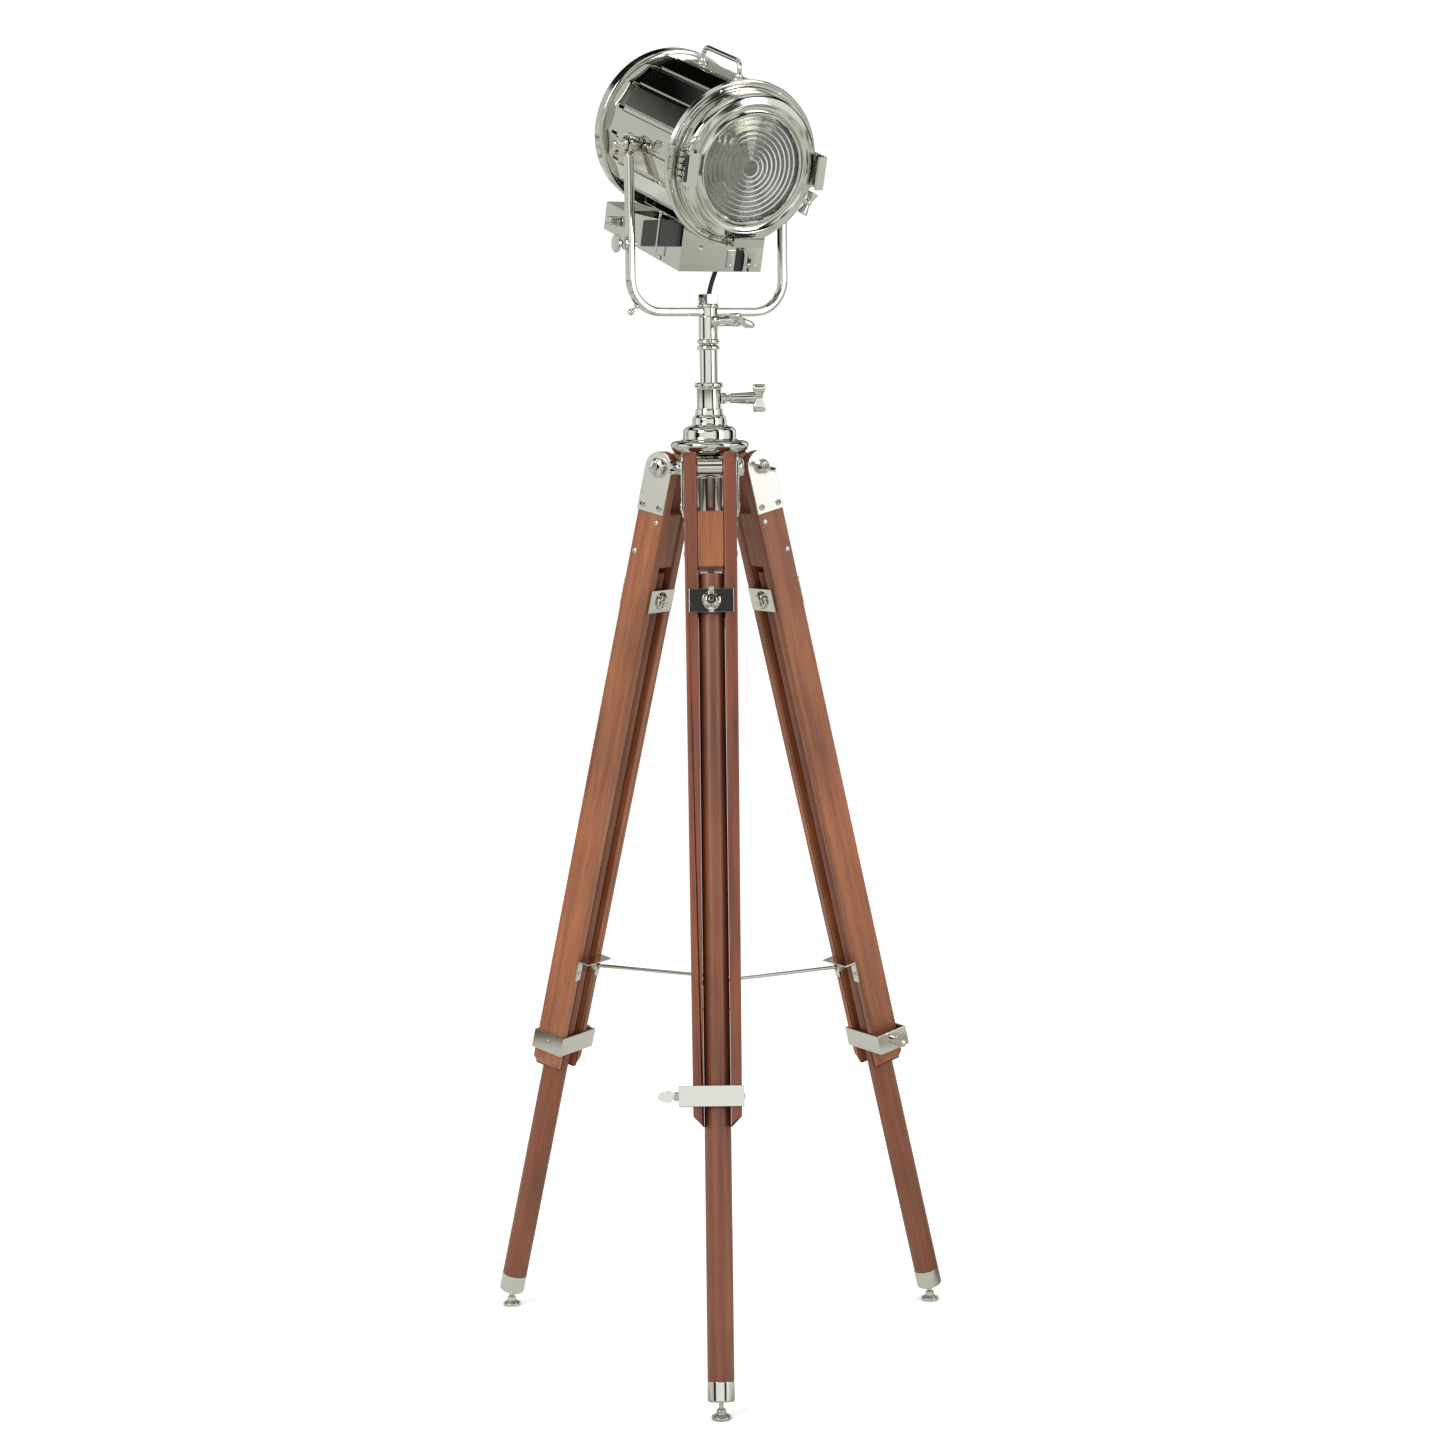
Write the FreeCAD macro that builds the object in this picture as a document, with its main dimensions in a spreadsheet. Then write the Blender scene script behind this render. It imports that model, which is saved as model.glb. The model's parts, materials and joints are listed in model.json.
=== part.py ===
import FreeCAD, Part
import math
import os
from types import SimpleNamespace

import Sketcher

# Tripod search-light floor lamp, in millimetres, +Z up.
# The origin is on the floor, under the axis of the column. The front leg points along -Y.

DRIVING_SIZES = {
    # wooden legs: two rails, a spacer and a round lower leg that slides between the rails
    "pivot_radius": 61.0,
    "pivot_height": 1263.0,
    "leg_tilt": 13.76,
    "rail_gap": 37.0,
    "rail_width": 18.5,
    "rail_foot_width": 14.5,
    "rail_depth": 44.0,
    "rail_length": 911.0,
    "rail_chamfer": 13.5,
    "spacer_top": 65.0,
    "spacer_length": 79.0,
    "lower_leg_radius": 18.1,
    "lower_leg_top": 152.0,
    "lower_leg_length": 1097.0,
    "ferrule_length": 27.0,
    "ferrule_wall": 0.3,
    # pivot fittings
    "side_plate": 3.0,
    "side_plate_drop": 65.6,
    "pivot_bolt_radius": 5.0,
    "bolt_head_radius": 14.0,
    "bolt_head_height": 8.0,
    "screw_head_radius": 4.5,
    "screw_head_height": 1.2,
    "screw_slot": 1.2,
    "bolt_clearance": 0.1,
    # clamp band and its wing screw
    "band_place": 870.0,
    "band_height": 28.0,
    "band_wall": 3.0,
    "band_reach": 16.0,
    "band_screw_radius": 3.0,
    "fit_gap": 0.25,
    # guide plates and their wing nut
    "guide_place": 192.0,
    "guide_width": 62.0,
    "guide_height": 33.0,
    "guide_wall": 3.0,
    "guide_bolt_radius": 3.0,
    # stays
    "stay_place": 744.0,
    "stay_width": 64.0,
    "stay_strap": 2.0,
    "stay_shelf": 18.0,
    "stay_ear_width": 12.0,
    "stay_ear_height": 30.0,
    "stay_rod_radius": 2.5,
    "stay_pin_radius": 2.0,
    "stay_pin_reach": 11.0,
    "stay_pin_drop": 7.0,
    "stay_eye_radius": 4.6,
    "stay_eye_width": 8.0,
    "stay_lug": 2.5,
    "stay_pitch": 7.0,
    "hub_radius": 11.0,
    "hub_height": 36.0,
    "hub_clearance": 1.6,
    # levelling feet
    "foot_flange_radius": 13.0,
    "foot_flange_height": 4.0,
    "foot_bell_radius": 6.5,
    "foot_stud_radius": 3.0,
    "foot_stud_entry": 8.0,
    # crown
    "column_radius": 12.5,
    "column_bore_radius": 9.0,
    "slide_clearance": 0.1,
    "lug_clearance": 0.4,
    "lug_radius": 12.0,
    "lug_core_radius": 27.0,
    "lug_core_height": 30.0,
    "lug_core_above_pivot": 15.0,
    "guide_tube_radius": 19.0,
    "guide_tube_length": 215.0,
    "rim_radius": 55.2,
    "rim_height": 22.0,
    "middle_ring_radius": 37.5,
    "middle_ring_height": 20.0,
    "upper_ring_radius": 24.0,
    "upper_ring_height": 15.0,
    "small_ring_radius": 19.3,
    "small_ring_height": 9.0,
    "collar_radius": 17.2,
    "collar_height": 29.0,
    "collar_top_radius": 19.9,
    "collar_top_height": 8.0,
    # column and swivel
    "column_length": 364.0,
    "column_bead_radius": 16.3,
    "column_bead_height": 7.0,
    "column_above_collar": 53.0,
    "spigot_radius": 10.0,
    "spigot_wall": 3.0,
    "spigot_length": 30.0,
    "sleeve_radius": 13.3,
    "sleeve_length": 39.0,
    "sleeve_bead_radius": 15.9,
    "swivel_gap": 0.5,
    "swivel_stem_radius": 8.0,
    "cord_way_radius": 5.0,
    "washer_radius": 15.0,
    "washer_height": 5.0,
    "nut_across_flats": 27.0,
    "nut_height": 14.0,
    # clamp handles
    "handle_stem_radius": 5.0,
    "handle_boss_radius": 8.0,
    "handle_grip_radius": 8.8,
    "handle_length": 62.0,
    "handle_wing_span": 28.0,
    "handle_wing_thickness": 6.0,
    "handle_wing_height": 18.0,
    "swivel_handle_turn": 45.0,
    # yoke
    "yoke_bar_width": 14.0,
    "yoke_bar_thickness": 12.0,
    "yoke_half_span": 121.0,
    "yoke_corner": 52.0,
    "eye_radius": 15.5,
    "head_height": 230.0,
    "head_pan": 28.4,
    "head_tilt": 17.0,
    "trunnion_radius": 6.0,
    "bush_radius": 11.0,
    "tilt_boss_radius": 13.0,
    "tilt_boss_height": 11.0,
    "tilt_wing_reach": 27.0,
    "thumbscrew_drop": 136.0,
    "thumbscrew_radius": 13.0,
    # drum
    "drum_radius": 110.5,
    "drum_wall": 1.5,
    "drum_rib": 3.0,
    "drum_front": 98.0,
    "drum_back": 110.0,
    "drum_panels": 18,
    "panel_gap": 8.0,
    "vent_length": 20.0,
    "runner_slot_width": 14.0,
    "runner_slot_length": 110.0,
    "back_cover_radius": 113.5,
    "back_cover_depth": 17.0,
    "back_cover_wall": 1.5,
    "back_cover_lap": 8.0,
    "back_cover_dish": 6.0,
    "flange_radius": 115.2,
    "flange_thickness": 10.0,
    "flange_bore": 100.0,
    "handle_rod_radius": 3.4,
    "handle_span": 108.0,
    "handle_rise": 21.0,
    "handle_bend": 12.0,
    "handle_place": -14.0,
    "latch_turn": 115.0,
    "latch_reach": 12.0,
    "latch_half": 17.0,
    "latch_radius": 7.5,
    # door, lens and accessory clips
    "door_radius": 102.0,
    "door_gap": 1.0,
    "door_depth": 20.0,
    "door_bevel": 10.0,
    "door_lip_radius": 71.0,
    "door_lip_outer": 84.0,
    "door_wall": 2.0,
    "lens_radius": 76.0,
    "lens_thickness": 6.0,
    "lens_rings": 7,
    "lens_step": 1.6,
    "hinge_radius": 4.0,
    "hinge_height": 46.0,
    "hinge_pin_radius": 1.5,
    "hinge_offset": 110.0,
    "clip_width": 46.0,
    "clip_wall": 2.0,
    "clip_reach": 12.0,
    "clip_slot": 14.0,
    # control housing below the drum
    "box_half_width": 65.0,
    "box_front": 86.0,
    "box_back": 155.0,
    "box_bottom": 157.0,
    "box_top_back": 117.0,
    "box_side_top": 92.0,
    "box_wall": 1.5,
    "panel_length": 108.0,
    "panel_height": 38.0,
    "panel_thickness": 7.0,
    "panel_back": 25.0,
    "panel_low": 150.0,
    "panel_top": 91.5,
    "panel_rise": 27.0,
    "panel_corner": 7.0,
    "cord_exit_side": 8.0,
    "cord_exit_front": 62.0,
    "cord_hole_radius": 6.5,
    "cord_radius": 3.3,
    # lamp carriage and its focus knob
    "carriage_height": 90.0,
    "carriage_width": 60.0,
    "carriage_length": 80.0,
    "carriage_plate": 3.0,
    "runner_width": 10.0,
    "runner_height": 6.0,
    "runner_under": 125.0,
    "runner_front": 60.0,
    "runner_back": 135.0,
    "roller_radius": 9.95,
    "roller_clearance": 0.05,
    "focus_place": 108.0,
    "focus_shaft_radius": 4.0,
    "focus_knob_radius": 7.5,
    "focus_knob_length": 19.0,
    "globe_radius": 26.0,
    "bulb_place": 5.0,
    "reflector_radius": 56.0,
    "reflector_depth": 22.0,
    "reflector_place": 52.0,
}

LEGS = {"front": 0.0, "left": -120.0, "right": 120.0}
STAY_LEVEL = {"front": -1, "left": 1, "right": 0}

doc = FreeCAD.newDocument("SearchLamp")
sheet = doc.addObject("Spreadsheet::Sheet", "Sizes")
nodes = []


# ---------------------------------------------------------------- sizes that keep their formula
class Size:
    """A number together with the sheet formula that gives it."""

    def __init__(self, value, formula):
        self.value = float(value)
        self.formula = formula

    def __float__(self):
        return self.value

    def __add__(self, other):
        return Size(self.value + float(other), f"({self.formula} + {formula(other)})")

    def __radd__(self, other):
        return Size(float(other) + self.value, f"({formula(other)} + {self.formula})")

    def __sub__(self, other):
        return Size(self.value - float(other), f"({self.formula} - {formula(other)})")

    def __rsub__(self, other):
        return Size(float(other) - self.value, f"({formula(other)} - {self.formula})")

    def __mul__(self, other):
        return Size(self.value * float(other), f"({self.formula} * {formula(other)})")

    def __rmul__(self, other):
        return Size(float(other) * self.value, f"({formula(other)} * {self.formula})")

    def __truediv__(self, other):
        return Size(self.value / float(other), f"({self.formula} / {formula(other)})")

    def __neg__(self):
        return Size(-self.value, f"(0 - {self.formula})")


def formula(size):
    """The text that a sheet or an expression reads for a size or a plain number."""
    return size.formula if isinstance(size, Size) else f"{float(size):.9f}"


for row, (alias, value) in enumerate(DRIVING_SIZES.items(), start=1):
    sheet.set(f"A{row}", alias)
    sheet.set(f"B{row}", str(value))
    sheet.setAlias(f"B{row}", alias)
doc.recompute()
S = SimpleNamespace(**{alias: Size(value, f"Sizes.{alias}") for alias, value in DRIVING_SIZES.items()})


# ---------------------------------------------------------------- building blocks
def vector(x, y, z):
    return FreeCAD.Vector(float(x), float(y), float(z))


def turn(axis, angle):
    return FreeCAD.Rotation(vector(*axis), float(angle))


ALONG = {
    "x": turn((0, 1, 0), 90),
    "-x": turn((0, 1, 0), -90),
    "y": turn((1, 0, 0), -90),
    "-y": turn((1, 0, 0), 90),
    "z": turn((0, 0, 1), 0),
    "-z": turn((1, 0, 0), 180),
}


def put(item, at=(0, 0, 0), along="z"):
    """Turns an item's own Z to a direction and binds its place to the sheet."""
    rotation = ALONG[along] if isinstance(along, str) else along
    item.Placement = FreeCAD.Placement(vector(*at), rotation)
    for axis, size in zip("xyz", at):
        item.setExpression(f"Placement.Base.{axis}", formula(size))
    return item


def primitive(kind, at, along, **sizes):
    item = doc.addObject(f"Part::{kind}", kind)
    for name, size in sizes.items():
        item.setExpression(name, formula(size))
    return put(item, at, along)


def box(centre, span):
    """A box given by its centre and its three lengths."""
    corner = [middle - length / 2 for middle, length in zip(centre, span)]
    return primitive("Box", corner, "z", Length=span[0], Width=span[1], Height=span[2])


def cylinder(base, along, radius, length):
    return primitive("Cylinder", base, along, Radius=radius, Height=length)


def cone(base, along, first_radius, second_radius, length):
    return primitive("Cone", base, along, Radius1=first_radius, Radius2=second_radius, Height=length)


def ball(centre, radius):
    return primitive("Sphere", centre, "z", Radius=radius)


def fuse(*items):
    joined = doc.addObject("Part::MultiFuse", "Fuse")
    joined.Shapes = list(items)
    joined.Refine = True
    return joined


def cut(base, *tools):
    trimmed = doc.addObject("Part::Cut", "Cut")
    trimmed.Base = base
    trimmed.Tool = tools[0] if len(tools) == 1 else fuse(*tools)
    return trimmed


def common(first, second):
    shared = doc.addObject("Part::Common", "Common")
    shared.Base = first
    shared.Tool = second
    return shared


def group(*items):
    """Separate solids that share one node."""
    bundle = doc.addObject("Part::Compound", "Group")
    bundle.Links = list(items)
    return bundle


def node(label, item, placement=None):
    """Names a finished sub-part and puts it at its place."""
    item.Label = label
    if placement is not None:
        item.Placement = placement
    nodes.append(item)
    return item


def outline(body, plane, points):
    """A closed sketch of straight edges whose corners are bound to the sheet."""
    sketch = body.newObject("Sketcher::SketchObject", "Outline")
    support = next(f for f in body.Origin.OriginFeatures if f.Role == plane)
    sketch.AttachmentSupport = [(support, "")]
    sketch.MapMode = "FlatFace"
    corners = [vector(x, y, 0) for x, y in points]
    count = len(corners)
    for index in range(count):
        sketch.addGeometry(Part.LineSegment(corners[index], corners[(index + 1) % count]))
    for index in range(count):
        following = (index + 1) % count
        sketch.addConstraint(Sketcher.Constraint("Coincident", index, 2, following, 1))
    for index, (x, y) in enumerate(points):
        for direction, size in (("DistanceX", x), ("DistanceY", y)):
            place = Sketcher.Constraint(direction, -1, 1, index, 1, float(size))
            number = sketch.addConstraint(place)
            if isinstance(size, Size):
                sketch.setExpression(f"Constraints[{number}]", size.formula)
    return sketch


def turned(points, at=(0, 0, 0), along="z"):
    """A turned piece: a closed outline of (radius, height) points spun about its own Z."""
    body = doc.addObject("PartDesign::Body", "Turned")
    sketch = outline(body, "XZ_Plane", points)
    spin = body.newObject("PartDesign::Revolution", "Spin")
    spin.Profile = sketch
    spin.ReferenceAxis = (sketch, ["V_Axis"])
    spin.Angle = 360
    return put(body, at, along)


def slab(points, thickness, at=(0, 0, 0), along="z"):
    """A flat piece: an outline in (x, z) given a thickness, half on each side."""
    body = doc.addObject("PartDesign::Body", "Slab")
    sketch = outline(body, "XZ_Plane", points)
    pad = body.newObject("PartDesign::Pad", "Thickness")
    pad.Profile = sketch
    pad.Midplane = True
    pad.setExpression("Length", formula(thickness))
    return put(body, at, along)


def slotted_head(at, along, radius, height, slot):
    """A low screw head with a driver slot."""
    head = cylinder((0, 0, 0), "z", radius, height)
    groove = box((0, 0, height), (radius * 3, slot, height))
    return put(cut(head, groove), at, along)


def domed_bolt_head(radius, height, slot):
    """A domed head with a driver slot, standing on the plane z = 0."""
    dome = turned([(0, 0), (radius, 0), (radius, height * 0.35), (radius * 0.8, height * 0.8),
                   (radius * 0.4, height), (0, height)])
    return cut(dome, box((0, 0, height), (radius * 3, slot, height * 0.5)))


def wing_nut(boss_radius, boss_height, bore, span, thickness, height):
    """A boss with two upright ears, standing on the plane z = 0."""
    boss = turned([(bore, 0), (boss_radius, 0), (boss_radius, boss_height * 0.4),
                   (boss_radius * 0.6, boss_height), (bore, boss_height)])
    ears = []
    for side in (-1, 1):
        reach = span / 2
        ears.append(slab([(side * boss_radius * 0.5, boss_height * 0.15),
                          (side * reach * 0.85, boss_height * 0.3),
                          (side * reach, height * 0.75),
                          (side * reach * 0.8, height),
                          (side * reach * 0.55, height * 0.85),
                          (side * boss_radius * 0.55, boss_height * 0.9)], thickness))
    return fuse(boss, *ears)


# ---------------------------------------------------------------- where the bodies stand
def leg_frame(angle):
    """The frame of a leg: origin at its pivot, Z up along the leg, -Y outwards."""
    around = turn((0, 0, 1), angle)
    pivot = around.multVec(vector(0, -S.pivot_radius, S.pivot_height))
    return FreeCAD.Placement(pivot, around.multiply(turn((1, 0, 0), -S.leg_tilt)))


leg_sine = math.sin(math.radians(float(S.leg_tilt)))
leg_cosine = math.cos(math.radians(float(S.leg_tilt)))
leg_end = float(S.lower_leg_top + S.lower_leg_length + S.ferrule_length)
foot_radius = float(S.pivot_radius) + leg_end * leg_sine
foot_height = float(S.pivot_height) - leg_end * leg_cosine

crown_base = S.pivot_height + S.lug_core_above_pivot
collar_base = (crown_base + S.rim_height + S.middle_ring_height + S.upper_ring_height
               + S.small_ring_height)
collar_top = collar_base + S.collar_height + S.collar_top_height
swivel_height = collar_top + S.column_above_collar
strap_under = swivel_height + S.swivel_gap + S.sleeve_length
strap_middle = strap_under + S.yoke_bar_thickness / 2
strap_top = strap_under + S.yoke_bar_thickness
head_centre = strap_middle + S.head_height
arm_inside = S.yoke_half_span - S.yoke_bar_thickness / 2
arm_outside = S.yoke_half_span + S.yoke_bar_thickness / 2

PAN = FreeCAD.Placement(vector(0, 0, 0), turn((0, 0, 1), S.head_pan))
HEAD = FreeCAD.Placement(vector(0, 0, head_centre),
                         turn((0, 0, 1), S.head_pan).multiply(turn((1, 0, 0), S.head_tilt)))
# In the head's frame the drum's axis is Y, the lens faces -Y, and X is the tilt axis.


# ---------------------------------------------------------------- legs
def rail_outer(place):
    """Half the width over both rails at a distance below the pivot."""
    narrowing = S.rail_width - S.rail_foot_width
    straight = S.rail_length - S.rail_chamfer - S.spacer_top
    return S.rail_gap / 2 + S.rail_width - narrowing * ((place - S.spacer_top) / straight)


def make_rails():
    """Two rails with rounded tops and a spacer block between them."""
    inner = S.rail_gap / 2
    outer = inner + S.rail_width
    foot = inner + S.rail_foot_width
    round_top = cylinder((-outer * 2, 0, 0), "x", S.rail_depth / 2, outer * 4)
    below = box((0, 0, -S.rail_length / 2), (outer * 4, S.rail_depth, S.rail_length))
    envelope = fuse(round_top, below)
    hole = cylinder((-outer * 2, 0, 0), "x", S.pivot_bolt_radius + S.bolt_clearance, outer * 4)
    pieces = []
    for side in (-1, 1):
        blank = slab([(side * inner, S.rail_depth / 2),
                      (side * outer, S.rail_depth / 2),
                      (side * outer, -S.spacer_top),
                      (side * foot, -S.rail_length + S.rail_chamfer),
                      (side * (foot - S.rail_chamfer), -S.rail_length),
                      (side * inner, -S.rail_length)], S.rail_depth)
        pieces.append(cut(common(blank, envelope), hole))
    middle = -S.spacer_top - S.spacer_length / 2
    pieces.append(box((0, 0, middle), (S.rail_gap, S.rail_depth - 4, S.spacer_length)))
    return group(*pieces)


def side_plate_blank(side):
    """One side plate with its round top and its bolt hole."""
    face = S.rail_gap / 2 + S.rail_width
    start = face if side > 0 else -face - S.side_plate
    middle = side * (face + S.side_plate / 2)
    top = cylinder((start, 0, 0), "x", S.rail_depth / 2, S.side_plate)
    body = box((middle, 0, -S.side_plate_drop / 2), (S.side_plate, S.rail_depth, S.side_plate_drop))
    hole = cylinder((-face * 2, 0, 0), "x", S.pivot_bolt_radius + S.bolt_clearance, face * 4)
    return cut(fuse(top, body), hole)


def make_pivot_fittings():
    """Side plates, their screws, the pivot bolt and its wing nut."""
    face = S.rail_gap / 2 + S.rail_width + S.side_plate
    shaft = cylinder((-face - 14, 0, 0), "x", S.pivot_bolt_radius, face * 2 + 14)
    head = put(domed_bolt_head(S.bolt_head_radius, S.bolt_head_height, 2), (face, 0, 0), "x")
    nut = wing_nut(S.bolt_head_radius * 0.75, 12, S.pivot_bolt_radius + S.bolt_clearance, 36, 5, 17)
    pieces = [side_plate_blank(-1), side_plate_blank(1), fuse(shaft, head)]
    pieces.append(put(nut, (-face, 0, 0), turn((0, 1, 0), -90).multiply(turn((0, 0, 1), 55))))
    screw_row = -S.side_plate_drop + 9
    for along, side in (("x", 1), ("-x", -1)):
        for across in (-14, 14):
            pieces.append(slotted_head((side * face, across, screw_row), along,
                                       S.screw_head_radius, S.screw_head_height, S.screw_slot))
    return group(*pieces)


def make_clamp_band():
    """The band that pinches the rails, with its fixed screw."""
    half = rail_outer(S.band_place - S.band_height / 2) + S.fit_gap
    depth = S.rail_depth / 2 + S.fit_gap
    low = -half - S.band_reach
    middle = (half + low) / 2
    height = -S.band_place
    outside = box((middle, 0, height),
                  (half - low + S.band_wall * 2, (depth + S.band_wall) * 2, S.band_height))
    inside = box((middle, 0, height), (half - low, depth * 2, S.band_height * 2))
    hole = cylinder((low - S.band_wall * 2, 0, height), "x",
                    S.band_screw_radius + S.bolt_clearance, S.band_wall * 3)
    screw = slotted_head((half + S.band_wall, 0, height), "x",
                         S.screw_head_radius, S.screw_head_height, S.screw_slot)
    return group(cut(outside, inside, hole), screw)


def make_band_screw():
    """The wing screw whose tip presses on the rail."""
    half = rail_outer(S.band_place - S.band_height / 2) + S.fit_gap
    reach = S.band_reach + S.band_wall
    shaft = cylinder((0, 0, 0), "z", S.band_screw_radius, reach + 8)
    collar = cylinder((0, 0, reach + 0.3), "z", S.band_screw_radius * 2, 6)
    ears = [cylinder((0, -2, reach + 14), "y", 8, 4), cylinder((0, -2, reach + 22), "y", 6.5, 4)]
    return put(fuse(shaft, collar, *ears), (-half, 0, -S.band_place), "-x")


def stay_rise(name):
    """How much higher up its leg a bracket sits, so that the three rods cross without touching."""
    return S.stay_pitch * (STAY_LEVEL[name] / leg_cosine)


def make_stay_bracket(name):
    """The bent strap on the rails' inner edges, with the clevis that holds a stay."""
    face = S.rail_depth / 2
    top = -S.stay_place + stay_rise(name)
    shelf = box((0, face + S.stay_shelf / 2, top), (S.stay_width, S.stay_shelf, S.stay_strap))
    ears = []
    screws = []
    ear_place = S.rail_gap / 2 + S.rail_foot_width / 2
    for side in (-1, 1):
        ears.append(box((side * ear_place, face + S.stay_strap / 2, top - S.stay_ear_height / 2),
                        (S.stay_ear_width, S.stay_strap, S.stay_ear_height)))
        screws.append(slotted_head((side * ear_place, face + S.stay_strap, top - S.stay_ear_height * 0.6),
                                   "y", 3.2, S.screw_head_height, 0.8))
    lug_place = S.stay_eye_width / 2 + S.fit_gap + S.stay_lug / 2
    pin_place = (0, face + S.stay_pin_reach, top - S.stay_pin_drop)
    for side in (-1, 1):
        ears.append(box((side * lug_place, pin_place[1], top - 6), (S.stay_lug, 10, 12)))
    pin_length = S.stay_eye_width + S.fit_gap * 2 + S.stay_lug * 2
    pin = cylinder((-pin_length / 2, pin_place[1], pin_place[2]), "x", S.stay_pin_radius, pin_length)
    return group(fuse(shelf, pin, *ears), *screws)


def stay_pin_centre(name):
    """The world position of the pin that a stay turns on."""
    height = -S.stay_place + stay_rise(name) - S.stay_pin_drop
    return leg_frame(LEGS[name]).multVec(vector(0, S.rail_depth / 2 + S.stay_pin_reach, height))


def stay_frame(name):
    """The frame of a stay: origin at its pin, +Y along the level rod towards the hub."""
    return FreeCAD.Placement(stay_pin_centre(name), turn((0, 0, 1), LEGS[name]))


def make_stay_rod(name):
    """A rod with an eye at the leg; its far end slides in the hub."""
    pin = stay_pin_centre(name)
    reach = math.hypot(pin.x, pin.y)
    length = reach + float(S.hub_radius) + 12
    half = S.stay_eye_width / 2
    eye = cylinder((-half, 0, 0), "x", S.stay_eye_radius, S.stay_eye_width)
    rod = cylinder((0, 2, 0), "y", S.stay_rod_radius, length - 2)
    end = ball((0, length, 0), S.stay_rod_radius * 1.4)
    hole = cylinder((-half * 2, 0, 0), "x", S.stay_pin_radius + S.bolt_clearance, half * 4)
    return cut(fuse(eye, rod, end), hole)


def make_lower_leg():
    """The round leg, with the hole for the guide bolt."""
    bottom = -S.lower_leg_top - S.lower_leg_length
    leg = cylinder((0, 0, bottom), "z", S.lower_leg_radius, S.lower_leg_length)
    hole = cylinder((0, -S.rail_depth, -S.guide_place), "y",
                    S.guide_bolt_radius + S.bolt_clearance, S.rail_depth * 2)
    return cut(leg, hole)


def make_guide_plates():
    """Two plates across the rails and the bolt that ties them through the lower leg."""
    face = S.rail_depth / 2 + S.fit_gap
    plates = []
    for side in (-1, 1):
        plates.append(box((0, side * (face + S.guide_wall / 2), -S.guide_place),
                          (S.guide_width, S.guide_wall, S.guide_height)))
    tip = face + S.guide_wall + 16
    shaft = cylinder((0, -tip, -S.guide_place), "y", S.guide_bolt_radius,
                     tip + face + S.guide_wall)
    head = put(domed_bolt_head(13, 7, 2), (0, face + S.guide_wall, -S.guide_place), "y")
    return fuse(shaft, head, *plates)


def make_guide_wing():
    """The wing nut on the outside of the guide bolt."""
    nut = wing_nut(12.5, 11, S.guide_bolt_radius + S.bolt_clearance, 39, 7, 17)
    standing = turn((1, 0, 0), 90).multiply(turn((0, 0, 1), 90))
    face = S.rail_depth / 2 + S.fit_gap + S.guide_wall + 0.2
    return put(nut, (0, -face, -S.guide_place), standing)


def make_ferrule():
    """The metal end of the lower leg, bored upright for the foot's stud."""
    top = -S.lower_leg_top - S.lower_leg_length
    radius = S.lower_leg_radius + S.ferrule_wall
    end = top - S.ferrule_length
    body = turned([(0, end), (radius - 2, end), (radius, end + 2), (radius, top), (0, top)])
    upright = turn((1, 0, 0), S.leg_tilt)
    bore = cylinder((0, 0, end), upright, S.foot_stud_radius + S.fit_gap, S.foot_stud_entry + 2)
    lower = cylinder((0, 0, end), turn((1, 0, 0), S.leg_tilt + 180),
                     S.foot_stud_radius + S.fit_gap, 4)
    return cut(body, bore, lower)


def make_level_foot():
    """A threaded stud with a bell and a flat flange, upright on the floor."""
    top = foot_height + float(S.foot_stud_entry)
    flange = S.foot_flange_height
    return group(turned([(0, 0), (S.foot_flange_radius, 0), (S.foot_flange_radius, flange),
                         (S.foot_bell_radius, flange + 4), (S.foot_bell_radius, flange + 9),
                         (S.foot_stud_radius, flange + 12), (S.foot_stud_radius, top), (0, top)]))


def make_legs():
    for name, angle in LEGS.items():
        frame = leg_frame(angle)
        node(f"rails_{name}", make_rails(), frame)
        node(f"pivot_fittings_{name}", make_pivot_fittings(), frame)
        node(f"clamp_band_{name}", make_clamp_band(), frame)
        node(f"band_screw_{name}", group(make_band_screw()), frame)
        node(f"stay_bracket_{name}", make_stay_bracket(name), frame)
        node(f"stay_rod_{name}", make_stay_rod(name), stay_frame(name))
        node(f"lower_leg_{name}", make_lower_leg(), frame)
        node(f"guide_plates_{name}", make_guide_plates(), frame)
        node(f"guide_wing_{name}", group(make_guide_wing()), frame)
        node(f"foot_ferrule_{name}", make_ferrule(), frame)
        around = turn((0, 0, 1), angle)
        foot = around.multVec(vector(0, -foot_radius, 0))
        node(f"level_foot_{name}", make_level_foot(), FreeCAD.Placement(foot, around))


# ---------------------------------------------------------------- crown
def make_crown_cap():
    """The stepped cap and collar that the column slides in."""
    bore = S.column_radius + S.slide_clearance
    rim = crown_base + S.rim_height
    middle = rim + S.middle_ring_height
    upper = middle + S.upper_ring_height
    small = upper + S.small_ring_height
    collar = small + S.collar_height
    return turned([
        (bore, crown_base), (S.rim_radius - 15, crown_base), (S.rim_radius - 2, crown_base + 9),
        (S.rim_radius, crown_base + 12), (S.rim_radius, rim - 3), (S.rim_radius - 4, rim),
        (S.middle_ring_radius, rim), (S.middle_ring_radius, middle - 2),
        (S.upper_ring_radius, middle), (S.upper_ring_radius, upper - 2),
        (S.small_ring_radius, upper), (S.small_ring_radius, small),
        (S.collar_radius, small), (S.collar_radius, collar),
        (S.collar_top_radius, collar + 1), (S.collar_top_radius, collar_top), (bore, collar_top)])


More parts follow.
